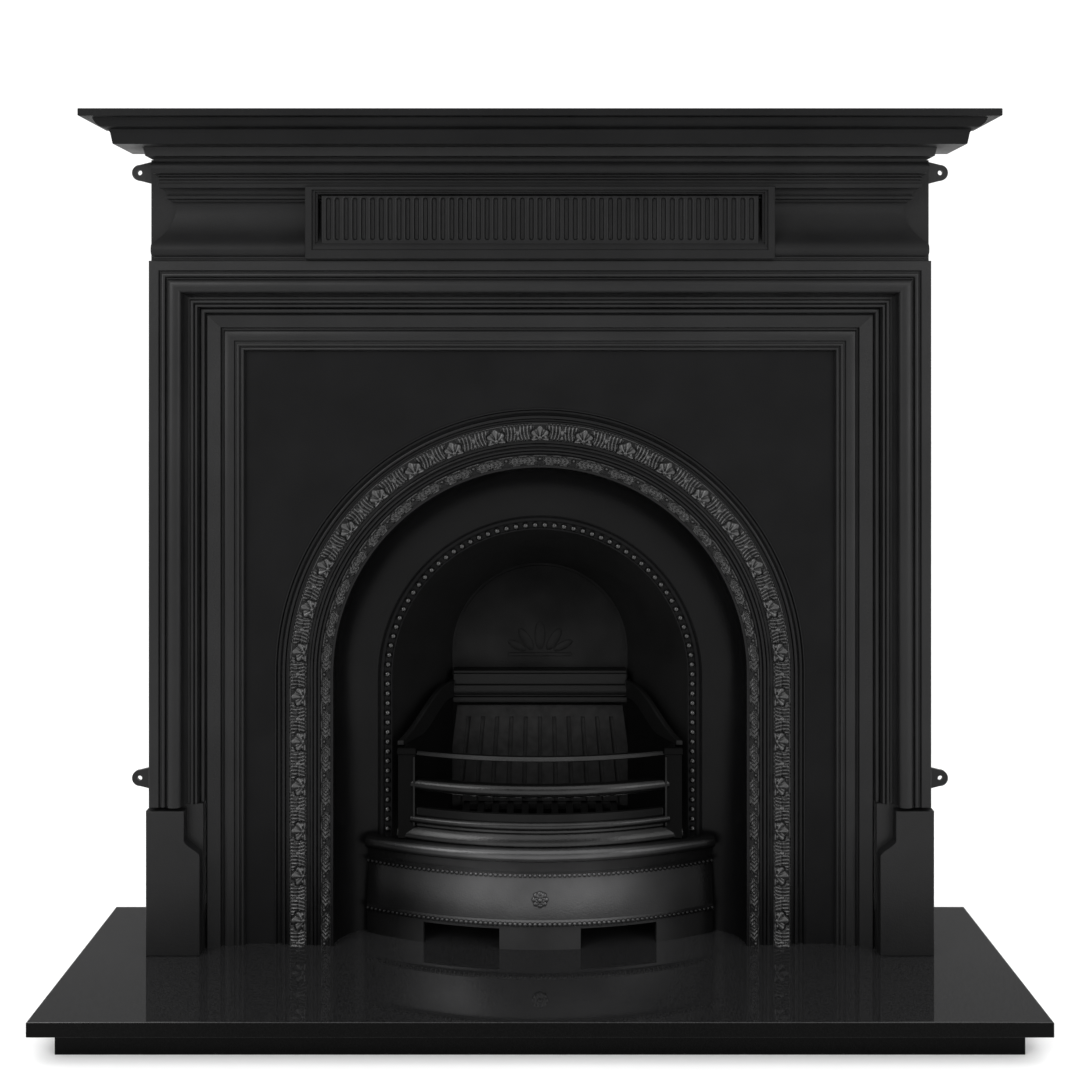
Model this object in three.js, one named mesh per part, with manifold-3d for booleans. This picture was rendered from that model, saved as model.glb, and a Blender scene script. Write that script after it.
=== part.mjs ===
// A black cast-iron fireplace: a moulded surround with a fluted frieze and a mantel shelf,
// an arched insert with a beaded inner arch, fire basket and ash pit cover, and a granite hearth.
// Millimetres, +Z up, front facing -Y. Sections are written as distances in front of the
// hearth's back edge ("out") and heights above the hearth's top ("up").

import * as THREE from "three";
import { mergeVertices } from "three/addons/utils/BufferGeometryUtils.js";
import Module from "manifold-3d";

const wasm = await Module();
wasm.setup();

// Hearth
const HEARTH = { width: 1372, depth: 381, slab: 21, plinth: 37, setback: 28, arris: 1.5 };

// Surround: the moulded frame round the opening, its foot blocks, frieze and shelf
const FRAME = { halfWidth: 579.5, height: 1031, face: 184, back: 130, moulding: 134 };
const REBATE = { start: 94, out: 138.5 };
const FOOT = { outer: 584.5, inner: 503.5, neck: 528, back: 130, step: 166, face: 182 };
const FOOT_TOP = { front: 215, rear: 221, ogeeLow: 147, ogeeHigh: 171 };
const FRIEZE = { halfWidth: 583, base: 158, runHalfWidth: 538.4, frontShare: 0.8 };
const PANEL = { halfWidth: 347, low: 1034, high: 1141, face: 192, border: 15 };
const FLUTES = { count: 49, pitch: 13, radius: 3.3, low: 1061, high: 1124, face: 186, margin: 5.5 };
const SHELF = { halfWidth: 581.6, face: 195, frontShare: 0.8 };
const LUG = { width: 30, thickness: 6, hole: 3.8, holeInset: 12, root: 30, outer: 619 };
const LUG_HEIGHTS = { lower: 250, upper: 1168 };

// Arched insert: front plate, arch mouldings, cove and the beaded inner arch
const PLATE = { halfWidth: 482, top: 935, face: 138, back: 130 };
const ARCH = { spring: 410, rim: 404, opening: 312, segments: 18 };
const COVE = { radius: 252, spring: 391, front: 147, depth: 62, wall: 6, steps: 5 };
const LEAF_BAND = { outer: 378, inner: 352, floor: 144, pitch: 66, rise: 6 };
const BUD_BAND = { outer: 331, inner: 315, floor: 146, pitch: 25, rise: 5 };
const RING = { outer: 251.7, inner: 229, back: 79, channel: 82 };
const BEADS = { radius: 237, size: 5, pitch: 15, lowest: 153 };

// Firebox behind the inner arch
const BOX = { frontRadius: 229.5, rearRadius: 147, rear: -84, rearSpring: 397, wall: 6 };
const BACK = { halfWidth: 165, top: 585, corner: 60, thickness: 7 };
const LEAF_CLUSTER = { foot: 390, spread: 52, width: 8, depth: 4.5 };
const FLUE = { halfWidth: 100, front: -30, rear: -84, low: 566, high: 640, wall: 6 };
const LINTEL = { halfWidth: 143, low: 317, high: 369 };
const RAIL = { rearX: 145.5, frontX: 214, rear: -45, front: 111, steps: 10, width: 9 };
const RAIL_TOP = { high: 355.5, drop: 57, from: 0.12, to: 1.1 };
const RAIL_UNDERSIDE = { high: 329, drop: 35.5, from: 0.1, to: 0.68 };
const CHEEK = { from: 0.035, to: 0.88, clearance: 1.2 };
const BRICK = { lowHalf: 157, topHalf: 137, rearHalf: 140, low: 150, high: 311, face: -60 };
const BRICK_BODY = { lean: 18, depth: 23.5, band: 18 };
const GROOVE = { count: 11, pitch: 26.6, width: 8, depth: 4, bevel: 1.2 };
const BED = { low: 150, high: 160, rear: -36, front: 104, bars: 11, pitch: 24, bar: 11 };

// Fire basket front and ash pit cover, both curved forward in plan
const BARS = { radius: 525, front: 155, halfChord: 193, segments: 10 };
const POST = { inner: 191, outer: 217, out: 112, thickness: 7, low: 152.5, high: 282 };
const CAP = { low: 282, high: 291, reach: 3 };
const COVER = { radius: 589, front: 160, halfWidth: 267, wall: 6, segments: 14, top: 151 };
const VENT = { inner: 61, outer: 177, height: 31 };
const ROSETTE = { radius: 12.5, up: 75, petals: 8 };

const GAP = 0.3;
const IRON = { color: 0x232323, roughness: 0.55, metalness: 0.6 };
const GRANITE = { color: 0x161616, roughness: 0.08, metalness: 0 };
const BRICK_FINISH = { color: 0x2a2a29, roughness: 0.9, metalness: 0 };

// A closed geometry from points and triangles, turned so that its faces point out.
function closedGeometry(points, triangles) {
  let volume = 0;
  for (const [a, b, c] of triangles) {
    const [p, q, r] = [points[a], points[b], points[c]];
    volume += p[0] * (q[1] * r[2] - q[2] * r[1]);
    volume += p[1] * (q[2] * r[0] - q[0] * r[2]);
    volume += p[2] * (q[0] * r[1] - q[1] * r[0]);
  }
  const outward = volume < 0 ? triangles.map(([a, b, c]) => [a, c, b]) : triangles;
  const geometry = new THREE.BufferGeometry();
  geometry.setAttribute("position", new THREE.Float32BufferAttribute(points.flat(), 3));
  geometry.setIndex(outward.flat());
  return geometry;
}

// Sweeps a closed section through places; each place turns a section point into [x, y, z].
function sweep(section, places) {
  const count = section.length;
  const points = places.flatMap((place) => section.map(([a, b]) => place(a, b)));
  const outline = section.map(([a, b]) => new THREE.Vector2(a, b));
  const anticlockwise = THREE.ShapeUtils.area(outline) > 0;
  const triangles = [];
  for (let s = 0; s < places.length - 1; s += 1) {
    for (let i = 0; i < count; i += 1) {
      const j = (i + 1) % count;
      const [here, next] = [s * count, (s + 1) * count];
      const quad = [here + i, here + j, next + j, next + i];
      if (!anticlockwise) quad.reverse();
      triangles.push([quad[0], quad[1], quad[2]], [quad[0], quad[2], quad[3]]);
    }
  }
  const last = (places.length - 1) * count;
  for (const cap of THREE.ShapeUtils.triangulateShape(outline, [])) {
    const corners = cap.map((i) => outline[i]);
    const [i, j, k] = THREE.ShapeUtils.area(corners) > 0 ? cap : [cap[0], cap[2], cap[1]];
    triangles.push([i, k, j], [last + i, last + j, last + k]);
  }
  return closedGeometry(points, triangles);
}

// A box from ranges of x, out and up.
function block(x, out, up) {
  const geometry = new THREE.BoxGeometry(x[1] - x[0], out[1] - out[0], up[1] - up[0]);
  geometry.translate((x[0] + x[1]) / 2, -(out[0] + out[1]) / 2, (up[0] + up[1]) / 2);
  return geometry;
}

function toSolid(geometry) {
  const bare = geometry.clone();
  bare.deleteAttribute("normal");
  bare.deleteAttribute("uv");
  const merged = mergeVertices(bare, 0.001);
  const vertProperties = Float32Array.from(merged.attributes.position.array);
  const triVerts = Uint32Array.from(merged.index.array);
  return new wasm.Manifold(new wasm.Mesh({ numProp: 3, vertProperties, triVerts }));
}

function toGeometry(solid) {
  const mesh = solid.getMesh();
  const geometry = new THREE.BufferGeometry();
  const positions = new Float32Array(mesh.numVert * 3);
  for (let i = 0; i < mesh.numVert; i += 1) {
    for (let k = 0; k < 3; k += 1) positions[i * 3 + k] = mesh.vertProperties[i * mesh.numProp + k];
  }
  geometry.setAttribute("position", new THREE.BufferAttribute(positions, 3));
  geometry.setIndex(Array.from(mesh.triVerts));
  return geometry;
}

function join(geometries) {
  const solids = geometries.map(toSolid);
  return toGeometry(solids.reduce((whole, next) => whole.add(next)));
}

function cut(geometry, tools) {
  const solids = tools.map(toSolid);
  return toGeometry(solids.reduce((whole, tool) => whole.subtract(tool), toSolid(geometry)));
}

function mesh(name, geometry, finish) {
  const piece = new THREE.Mesh(geometry, new THREE.MeshStandardMaterial(finish));
  piece.name = name;
  return piece;
}

// A stack of rectangles with mitred corners: each level is [up, projection].
function mitredStack(levels, halfWidth, face, back, frontShare = 1) {
  const corners = [[-1, 0], [-1, 1], [1, 1], [1, 0]];
  const points = levels.flatMap(([up, projection]) =>
    corners.map(([side, front]) => {
      const out = front ? face + frontShare * projection : back;
      return [side * (halfWidth + projection), -out, up];
    }),
  );
  const triangles = [[0, 2, 1], [0, 3, 2]];
  for (let level = 0; level < levels.length - 1; level += 1) {
    for (let i = 0; i < 4; i += 1) {
      const j = (i + 1) % 4;
      const [here, next] = [level * 4, level * 4 + 4];
      triangles.push([here + i, here + j, next + j], [here + i, next + j, next + i]);
    }
  }
  const top = (levels.length - 1) * 4;
  triangles.push([top, top + 1, top + 2], [top, top + 2, top + 3]);
  return closedGeometry(points, triangles);
}

// The points of a small bead between two places of a section.
function bead(from, to, rise) {
  return [from, [(from[0] + to[0]) / 2, (from[1] + to[1]) / 2 + rise], to];
}

// Places round an arch standing on straight legs; spring gives each radius its own centre height.
function archPlaces(spring, segments) {
  const places = [(r, out) => [-r, -out, 0]];
  for (let i = 0; i <= segments; i += 1) {
    const angle = Math.PI - (Math.PI * i) / segments;
    places.push((r, out) => [r * Math.cos(angle), -out, spring(r) + r * Math.sin(angle)]);
  }
  places.push((r, out) => [r, -out, 0]);
  return places;
}

// The centre height of an arch line: the main spring outside the opening, falling to the inner arch's.
function springAt(radius) {
  const share = THREE.MathUtils.clamp((radius - COVE.radius) / (ARCH.opening - COVE.radius), 0, 1);
  return COVE.spring + (ARCH.spring - COVE.spring) * share;
}

// A place on an arch line at a run of length from its left foot, as [x, up, angle].
function alongArch(radius, spring, run) {
  const arc = Math.PI * radius;
  if (run < spring) return [-radius, run, Math.PI];
  if (run > spring + arc) return [radius, spring - (run - spring - arc), 0];
  const angle = Math.PI - (run - spring) / radius;
  return [radius * Math.cos(angle), spring + radius * Math.sin(angle), angle];
}

function hearthSlab() {
  const { width, depth, slab, arris } = HEARTH;
  const points = [];
  for (const [up, inset] of [[-slab, arris], [arris - slab, 0], [-arris, 0], [0, arris]]) {
    for (const [sx, sy] of [[-1, 0], [-1, 1], [1, 1], [1, 0]]) {
      points.push([sx * (width / 2 - inset), sy ? inset - depth : -inset, up]);
    }
  }
  const triangles = [[0, 2, 1], [0, 3, 2], [12, 13, 14], [12, 14, 15]];
  for (let level = 0; level < 3; level += 1) {
    for (let i = 0; i < 4; i += 1) {
      const j = (i + 1) % 4;
      const here = level * 4;
      triangles.push([here + i, here + j, here + j + 4], [here + i, here + j + 4, here + i + 4]);
    }
  }
  return closedGeometry(points, triangles);
}

function hearthPlinth() {
  const half = HEARTH.width / 2 - HEARTH.setback;
  const low = -HEARTH.slab - HEARTH.plinth;
  return block([-half, half], [0, HEARTH.depth - HEARTH.setback], [low, -HEARTH.slab]);
}

// The frame's section from its outer edge inwards: [distance from the outer edge, out].
function frameSection() {
  const { face, back, moulding } = FRAME;
  return [
    [0, back],
    [0, face],
    [14.5, face],
    [16, face - 4],
    ...bead([18, face - 2], [24, face - 2], 2.5),
    [25.5, face - 5],
    [27, face - 1],
    [31, face + 3],
    [36, face + 4],
    [42, face + 2],
    [48, face - 5],
    [52, face - 13],
    [54, face - 19],
    ...bead([57.5, face - 16.5], [62, face - 16.5], 2),
    [63.5, face - 18],
    [67, face - 17],
    [68, face - 22],
    ...bead([70, face - 28.5], [76, face - 28.5], 3),
    [77.5, face - 31],
    [79.5, face - 29.5],
    [97.5, face - 36],
    [99.5, face - 41],
    [104, face - 38],
    [109.5, face - 37],
    [118, face - 38.5],
    [120.5, face - 41],
    [124, face - 39.5],
    [127, face - 41.5],
    ...bead([128, face - 41], [132, face - 41], 2.5),
    [moulding, REBATE.out],
    [REBATE.start, REBATE.out],
    [REBATE.start, back],
  ];
}

function surroundFrame() {
  const { halfWidth, height } = FRAME;
  const places = [
    (inset, out) => [inset - halfWidth, -out, 0],
    (inset, out) => [inset - halfWidth, -out, height - inset],
    (inset, out) => [halfWidth - inset, -out, height - inset],
    (inset, out) => [halfWidth - inset, -out, 0],
  ];
  const whole = sweep(frameSection(), places);
  const room = [FOOT.inner - GAP, FRAME.halfWidth + 10];
  const tools = [-1, 1].map((side) => {
    const x = side < 0 ? [-room[1], -room[0]] : room;
    return block(x, [FRAME.back - 10, FRAME.face + 10], [-10, FOOT_TOP.rear + GAP]);
  });
  return cut(whole, tools);
}

// A foot block: a rear step carrying the jamb and a front face with an ogee shoulder inside.
function footBlock(side) {
  const { outer, inner, neck, back, step, face } = FOOT;
  const { front, rear, ogeeLow, ogeeHigh } = FOOT_TOP;
  const shoulder = [];
  for (let i = 0; i <= 6; i += 1) {
    const share = i / 6;
    const ease = share * share * (3 - 2 * share);
    shoulder.push([inner + 1 + (neck - inner - 1) * ease, ogeeLow + (ogeeHigh - ogeeLow) * share]);
  }
  const arris = 2;
  const outline = [[outer, 0], [inner + 1, 0], ...shoulder, [neck, front], [outer, front]];
  const flip = (out) => (x, up) => [side * x, -out, up];
  const inset = (out) => (x, up) => {
    const nearer = x > outer - 1 ? x - arris : x < neck + 1 && up > 0 ? x + arris : x;
    return [side * nearer, -out, up > front - 1 ? up - arris : up];
  };
  const plate = sweep(outline, [flip(step - 1), flip(face - arris), inset(face)]);
  const x = side < 0 ? [-outer, -inner] : [inner, outer];
  return join([block(x, [back, step], [0, rear]), plate]);
}

// The run of mouldings across the frieze: [up, projection] from the bottom to the top.
const FRIEZE_LEVELS = [
  [1031.3, 31], [1035, 31], [1036, 34], [1039, 34], [1040, 31], [1042, 34], [1045, 38],
  [1049, 39.5], [1053, 38.5], [1057, 34], [1061, 28.5], [1066, 23.5], [1079, 16.5], [1096, 9],
  [1104, 6.5], [1112, 6], [1117, 8], [1120.5, 12], [1122, 12.5], [1123.5, 17], [1126.5, 18.5],
  [1129, 17], [1130.5, 14.5], [1132, 17], [1136, 24], [1140, 27.5], [1145, 28], [1146, 25.5],
  [1148, 27], [1150, 25.5], [1151.5, 29], [1154, 29], [1155.5, 26], [1158, 28], [1160, 32],
  [1163, 36.5], [1167, 39], [1171, 39.5], [1175, 37.5], [1178, 33.5], [1180, 35], [1184, 38.5],
];

function fluteCutter(x) {
  const { radius, low, high, face } = FLUTES;
  const cutter = new THREE.CapsuleGeometry(radius, high - low - 2 * radius, 1, 6);
  cutter.rotateX(Math.PI / 2);
  cutter.translate(x, -face - 0.6, (low + high) / 2);
  return cutter;
}

function frieze() {
  const { halfWidth, base, runHalfWidth, frontShare } = FRIEZE;
  const bottom = FRIEZE_LEVELS[0][0];
  const top = FRIEZE_LEVELS[FRIEZE_LEVELS.length - 1][0];
  const backing = block([-halfWidth, halfWidth], [FRAME.back, base], [bottom, top]);
  const run = mitredStack(FRIEZE_LEVELS, runHalfWidth, base, FRAME.back + 5, frontShare);
  const { halfWidth: half, low, high, face, border } = PANEL;
  const tablet = block([-half, half], [base - 10, face], [low, high]);
  const recess = (inset, floor) => {
    const x = half - inset;
    return block([-x, x], [floor, face + 20], [low + inset, high - inset * 0.5]);
  };
  const opened = cut(join([backing, run, tablet]), [
    recess(border - 4, face - 3),
    recess(border, face - 7),
    recess(border + 2, face - 13),
  ]);
  const plateHalf = (FLUTES.count * FLUTES.pitch) / 2 + 3;
  const plateUp = [FLUTES.low - FLUTES.margin, FLUTES.high + FLUTES.margin - 2];
  const plate = block([-plateHalf, plateHalf], [base, FLUTES.face], plateUp);
  const cutters = [];
  for (let i = 0; i < FLUTES.count; i += 1) {
    cutters.push(fluteCutter((i - (FLUTES.count - 1) / 2) * FLUTES.pitch));
  }
  return join([opened, cut(plate, cutters)]);
}

// The shelf and cornice: [up, projection] from the small fascia up to the shelf's top edge.
const SHELF_LEVELS = [
  [1184.3, -0.5], [1196.5, 2], [1196.5, 40], [1214, 44], [1217.5, 46.5], [1220.5, 51],
  [1223, 56], [1226, 59], [1230.5, 60], [1230.5, 76.5], [1231.5, 78], [1242, 78], [1243, 77],
];

function mantelShelf() {
  return mitredStack(SHELF_LEVELS, SHELF.halfWidth, SHELF.face, FRAME.back, SHELF.frontShare);
}

function fixingLug(side, height) {
  const { width, thickness, hole, holeInset, root, outer } = LUG;
  const shape = new THREE.Shape();
  const half = width / 2;
  const centre = outer - holeInset;
  const start = FRAME.halfWidth + 5.5;
  shape.moveTo(start, height - half - root / 6);
  shape.lineTo(centre, height - holeInset);
  shape.absarc(centre, height, holeInset, -Math.PI / 2, Math.PI / 2, false);
  shape.lineTo(start, height + half + root / 6);
  const eye = new THREE.Path();
  eye.absarc(centre, height, hole, 0, Math.PI * 2, true);
  shape.holes.push(eye);
  const options = { depth: thickness, bevelEnabled: false, curveSegments: 5 };
  const geometry = new THREE.ExtrudeGeometry(shape, options);
  geometry.rotateX(Math.PI / 2);
  geometry.translate(0, -FRAME.back, 0);
  if (side < 0) geometry.rotateZ(Math.PI).translate(0, -2 * FRAME.back - thickness, 0);
  return geometry;
}

// The arch's mouldings from the rim in to the opening, the cove, and the back of the casting.
function archSection() {
  const front = [
    [ARCH.rim, 137], [401.5, 139.5], [399.5, 139.5], [397, 136], [394, 134.5], [391.5, 136.5],
    ...bead([390, 140.5], [385.2, 140.5], 2), [384, 138], [382, 138], [381, 142.5], [379, 142.5],
    [377, LEAF_BAND.floor], [354, LEAF_BAND.floor], [352, 141], [348.3, 141],
    ...bead([347, 143], [343.2, 143], 1.8), [342, 141], [340.5, 145], [337.8, 145],
    [335.5, 142], [332.8, 142], [331, 145], [322, 147], [315.5, 147.5], [ARCH.opening, COVE.front],
  ];
  const span = ARCH.opening - COVE.radius;
  const quarter = (step) => (Math.PI / 2) * (step / COVE.steps);
  const cove = [];
  const shell = [];
  for (let step = 1; step <= COVE.steps; step += 1) {
    const [across, back] = [Math.cos(quarter(step)), Math.sin(quarter(step))];
    cove.push([COVE.radius + span * across, COVE.front - COVE.depth * back]);
    const radius = COVE.radius + (span + COVE.wall) * across;
    shell.unshift([radius, COVE.front - (COVE.depth + COVE.wall) * back]);
  }
  const [lastRadius] = shell[shell.length - 1];
  return [...front, ...cove, ...shell, [lastRadius + 2, PLATE.back], [ARCH.rim, PLATE.back]];
}

// A carved band laid round the arch: each unit is rows of [share along it, trim of the inner
// edge, trim of the outer edge, height], the trims as shares of the band's width.
function carvedBand(band, unit) {
  const middle = (band.outer + band.inner) / 2;
  const width = band.outer - band.inner;
  const length = 2 * ARCH.spring + Math.PI * middle;
  const units = Math.round(length / band.pitch);
  const sink = 3;
  const points = [];
  for (let i = 0; i < units; i += 1) {
    for (const [share, inner, outer, height] of unit) {
      const [x, up, angle] = alongArch(middle, ARCH.spring, (length * (i + share)) / units);
      const at = (radius, out) => {
        const offset = radius - middle;
        return [x + offset * Math.cos(angle), -out, up + offset * Math.sin(angle)];
      };
      const low = band.inner + width * inner;
      const high = band.outer - width * outer;
      points.push(at(low, band.floor - sink), at((low + high) / 2, band.floor + height));
      points.push(at(high, band.floor - sink));
    }
  }
  const count = 3;
  const stations = points.length / count;
  const triangles = [];
  for (let s = 0; s < stations - 1; s += 1) {
    for (let i = 0; i < count; i += 1) {
      const j = (i + 1) % count;
      const [here, next] = [s * count, (s + 1) * count];
      triangles.push([here + i, here + j, next + j], [here + i, next + j, next + i]);
    }
  }
  const last = (stations - 1) * count;
  for (let i = 1; i < count - 1; i += 1) {
    triangles.push([0, i + 1, i], [last, last + i, last + i + 1]);
  }
  return closedGeometry(points, triangles);
}

function insertPlate() {
  const { halfWidth, top, face, back } = PLATE;
  const shape = new THREE.Shape();
  const hole = ARCH.rim - 3;
  shape.moveTo(-halfWidth, 0);
  shape.lineTo(-hole, 0);
  shape.lineTo(-hole, ARCH.spring);
  shape.absarc(0, ARCH.spring, hole, Math.PI, 0, true);
  shape.lineTo(hole, 0);
  shape.lineTo(halfWidth, 0);
  shape.lineTo(halfWidth, top);
  shape.lineTo(-halfWidth, top);
  const options = { depth: face - back, bevelEnabled: false, curveSegments: ARCH.segments };
  const plate = new THREE.ExtrudeGeometry(shape, options);
  plate.rotateX(Math.PI / 2);
  plate.translate(0, -back, 0);
  const arch = sweep(archSection(), archPlaces(springAt, ARCH.segments));
  const rise = LEAF_BAND.rise;
  const leaves = carvedBand(LEAF_BAND, [
    [0, 0.22, 0.22, rise * 0.35], [0.25, 0, 0, rise * 0.8],
    [0.5, 0.25, 0.25, rise * 1.2], [0.75, 0, 0, rise * 0.8],
  ]);
  const buds = carvedBand(BUD_BAND, [
    [0, 0, 0.1, BUD_BAND.rise * 0.35], [0.5, 0.1, 0.05, BUD_BAND.rise],
  ]);
  return join([plate, arch, leaves, buds]);
}

// The ring inside the cove: a rounded band outside, a channel of pearls and a thin inner edge.
function innerArch() {
  const { outer, inner, back, channel } = RING;
  const section = [
    [outer, back], [outer, back + 1.5], [249.8, back + 1.5], [248.5, channel + 2.5],
    [245, channel + 3.5], [242.5, channel + 2], [242, channel], [232.2, channel],
    [231.4, channel + 1.8], [inner, channel + 1.5], [inner, back],
  ];
  const parts = [sweep(section, archPlaces(() => COVE.spring, ARCH.segments))];
  const { radius, size, pitch, lowest } = BEADS;
  const length = 2 * COVE.spring + Math.PI * radius;
  const count = Math.floor((length - 2 * lowest) / pitch);
  for (let i = 0; i <= count; i += 1) {
    const [x, up] = alongArch(radius, COVE.spring, length / 2 + (i - count / 2) * pitch);
    const pearl = new THREE.ConeGeometry(size, size, 4);
    pearl.rotateX(Math.PI);
    pearl.translate(x, 1 - channel - size / 2, up);
    parts.push(pearl);
  }
  return join(parts);
}

// The firebox shell: arch-shaped walls narrowing to the fireback, with the flue's way out on top.
function firebox() {
  const { frontRadius, rearRadius, rear, rearSpring, wall } = BOX;
  const front = RING.back - GAP;
  const spring = (radius) => {
    const share = THREE.MathUtils.clamp((radius - rearRadius) / (frontRadius - rearRadius), 0, 1);
    return rearSpring + (COVE.spring - rearSpring) * share;
  };
  const section = [
    [frontRadius, front], [frontRadius + wall, front], [rearRadius + wall, rear], [rearRadius, rear],
  ];
  const shell = sweep(section, archPlaces(spring, ARCH.segments));
  const slot = FLUE.halfWidth - FLUE.wall - GAP;
  const depth = [rear - 5, FLUE.front - FLUE.wall - GAP];
  return cut(shell, [block([-slot, slot], depth, [FLUE.low - 80, FLUE.low + 80])]);
}

// The flue collar: four walls standing on the firebox over its slot.
function flueCollar() {
  const { halfWidth, front, rear, low, high, wall } = FLUE;
  const outer = block([-halfWidth, halfWidth], [rear, front], [low - 22, high]);
  const { rearRadius, frontRadius, rearSpring } = BOX;
  const inside = halfWidth - wall;
  const passage = block([-inside, inside], [rear + wall, front - wall], [low - 60, high + 10]);
  const section = [
    [GAP, RING.back], [frontRadius + BOX.wall + GAP, RING.back],
    [rearRadius + BOX.wall + GAP, rear - 5], [GAP, rear - 5],
  ];
  const below = sweep(section, archPlaces(() => rearSpring, ARCH.segments));
  return cut(outer, [passage, below]);
}

// The fireback: a plate with cut top corners and a low cluster of leaves over a fillet.
function fireback() {
  const { halfWidth, top, corner, thickness } = BACK;
  const shape = new THREE.Shape();
  shape.moveTo(-halfWidth, 0);
  shape.lineTo(halfWidth, 0);
  shape.lineTo(halfWidth, top - corner);
  shape.lineTo(halfWidth - corner, top);
  shape.lineTo(corner - halfWidth, top);
  shape.lineTo(-halfWidth, top - corner);
  const plate = new THREE.ExtrudeGeometry(shape, { depth: thickness, bevelEnabled: false });
  const face = BOX.rear - GAP;
  plate.rotateX(Math.PI / 2);
  plate.translate(0, thickness - face, 0);
  const parts = [plate];
  const { foot, spread, width, depth } = LEAF_CLUSTER;
  for (const [lean, length] of [[-62, 38], [-32, 48], [0, 56], [32, 48], [62, 38]]) {
    const leaf = new THREE.OctahedronGeometry(1, 0);
    leaf.scale(width, depth, length / 2);
    leaf.translate(0, 0, length / 2);
    leaf.rotateY((lean * Math.PI) / 180);
    leaf.translate(lean * 0.35, -face, foot + 6);
    parts.push(leaf);
  }
  parts.push(block([-spread, spread], [face - 2, face + 3], [foot - 2, foot + 3]));
  return join(parts);
}

// A place on the swept side rail: share 0 at the lintel, 1 at the basket's front.
function railPlace(share) {
  const fall = ({ high, drop, from, to }) => high - drop * THREE.MathUtils.smoothstep(share, from, to);
  return {
    x: RAIL.rearX + (RAIL.frontX - RAIL.rearX) * share,
    out: RAIL.rear + (RAIL.front - RAIL.rear) * share,
    top: fall(RAIL_TOP),
    underside: fall(RAIL_UNDERSIDE),
  };
}

// Sweeps a section along a side rail: upOf turns a section height of 0 to 1 into a real one.
function alongRail(side, section, from, to, upOf) {
  const places = [];
  for (let i = 0; i <= RAIL.steps; i += 1) {
    const place = railPlace(from + ((to - from) * i) / RAIL.steps);
    places.push((across, share) => [side * (place.x + across), -place.out, upOf(place, share)]);
  }
  return sweep(section, places);
}

// The hob rail: the moulded lintel over the brick with its two swept arms.
function hobRail() {
  const { halfWidth, low, high } = LINTEL;
  const rear = BOX.rear + 0.5;
  const section = [
    [rear, low], [-51, low], [-48.5, low + 2], [-48, low + 6], [-49, low + 9.5], [-52, low + 11],
    [-52, low + 13], [-45, low + 14.5], [-43, low + 18], [-42.5, low + 25], [-45, low + 30],
    [-51, low + 31.5], [-52, low + 33], [-54, high - 5], [-57, high - 3.5], [-57, high], [rear, high],
  ];
  const across = (x) => (out, up) => [x, -out, up];
  const parts = [sweep(section, [across(-halfWidth), across(halfWidth)])];
  const half = RAIL.width / 2;
  const arm = [[-half, 0], [half, 0], [half, 0.8], [half - 2, 1], [2 - half, 1], [-half, 0.8]];
  const upOf = (place, share) => place.underside + (place.top - place.underside) * share;
  for (const side of [-1, 1]) {
    parts.push(alongRail(side, arm, 0, 1, upOf));
    const reach = [RAIL.rearX - half, RAIL.rearX + half];
    const x = side < 0 ? [-reach[1], -reach[0]] : reach;
    const shoulder = [RAIL_UNDERSIDE.high + 1, RAIL_TOP.high - 1];
    parts.push(block(x, [RAIL.rear - 15, RAIL.rear + 1], shoulder));
  }
  return join(parts);
}

// A cheek under the rail, closing the side of the fire basket.
function sideCheek(side) {
  const half = RAIL.width / 2 - 1;
  const upOf = (place, share) => (share > 0 ? place.underside - CHEEK.clearance : BED.low);
  const section = [[-half, 0], [half, 0], [half, 1], [-half, 1]];
  return alongRail(side, section, CHEEK.from, CHEEK.to, upOf);
}

// The firebrick: it widens and leans forward towards its foot, with grooves below a plain band.
function firebrick() {
  const { lowHalf, topHalf, rearHalf, low, high, face } = BRICK;
  const { lean, depth, band } = BRICK_BODY;
  const { count, pitch, width, bevel } = GROOVE;
  const grooves = [];
  for (let i = 0; i < count; i += 1) {
    const middle = (i - (count - 1) / 2) * pitch;
    grooves.push([middle - width / 2, 0], [middle - width / 2 + bevel, -GROOVE.depth]);
    grooves.push([middle + width / 2 - bevel, -GROOVE.depth], [middle + width / 2, 0]);
  }
  const rear = [rearHalf, -depth];
  const outline = (middle) => [[-rear[0], rear[1]], [-lowHalf, 0], ...middle, [lowHalf, 0], rear];
  const level = (up) => {
    const share = (up - low) / (high - low);
    const narrowing = 1 + (topHalf / lowHalf - 1) * share;
    return (x, forward) => {
      const leaning = forward > -depth ? lean * (1 - share) : 0;
      return [x * narrowing, -(face + forward + leaning), up];
    };
  };
  const fluted = sweep(outline(grooves), [level(low), level(high - band)]);
  const plain = sweep(outline([]), [level(high - band - 1), level(high)]);
  return join([fluted, plain]);
}

// The bottom grate: a plate of bars with a slot between each two.
function bottomGrate() {
  const { low, high, rear, front, bars, pitch, bar } = BED;
  const reach = ((bars - 1) / 2) * pitch + bar / 2;
  const slots = [];
  for (let i = 0; i < bars - 1; i += 1) {
    const x = (i - (bars - 2) / 2) * pitch;
    const half = (pitch - bar) / 2;
    slots.push(block([x - half, x + half], [rear + bar, front - bar], [low - 1, high + 1]));
  }
  return cut(block([-reach, reach], [rear, front], [low, high]), slots);
}

// Places round a vertical axis: a section of [radius, up] swept across the front.
function bowPlaces(radius, front, halfAngle, segments) {
  const places = [];
  for (let i = 0; i <= segments; i += 1) {
    const angle = halfAngle * ((2 * i) / segments - 1);
    places.push((r, up) => {
      const out = front - radius + r * Math.cos(angle);
      return [r * Math.sin(angle), -out, up];
    });
  }
  return places;
}

function roundSection(centre, up, radius, sides) {
  const points = [];
  for (let i = 0; i < sides; i += 1) {
    const angle = (2 * Math.PI * i) / sides;
    points.push([centre + radius * Math.cos(angle), up + radius * Math.sin(angle)]);
  }
  return points;
}

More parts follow.
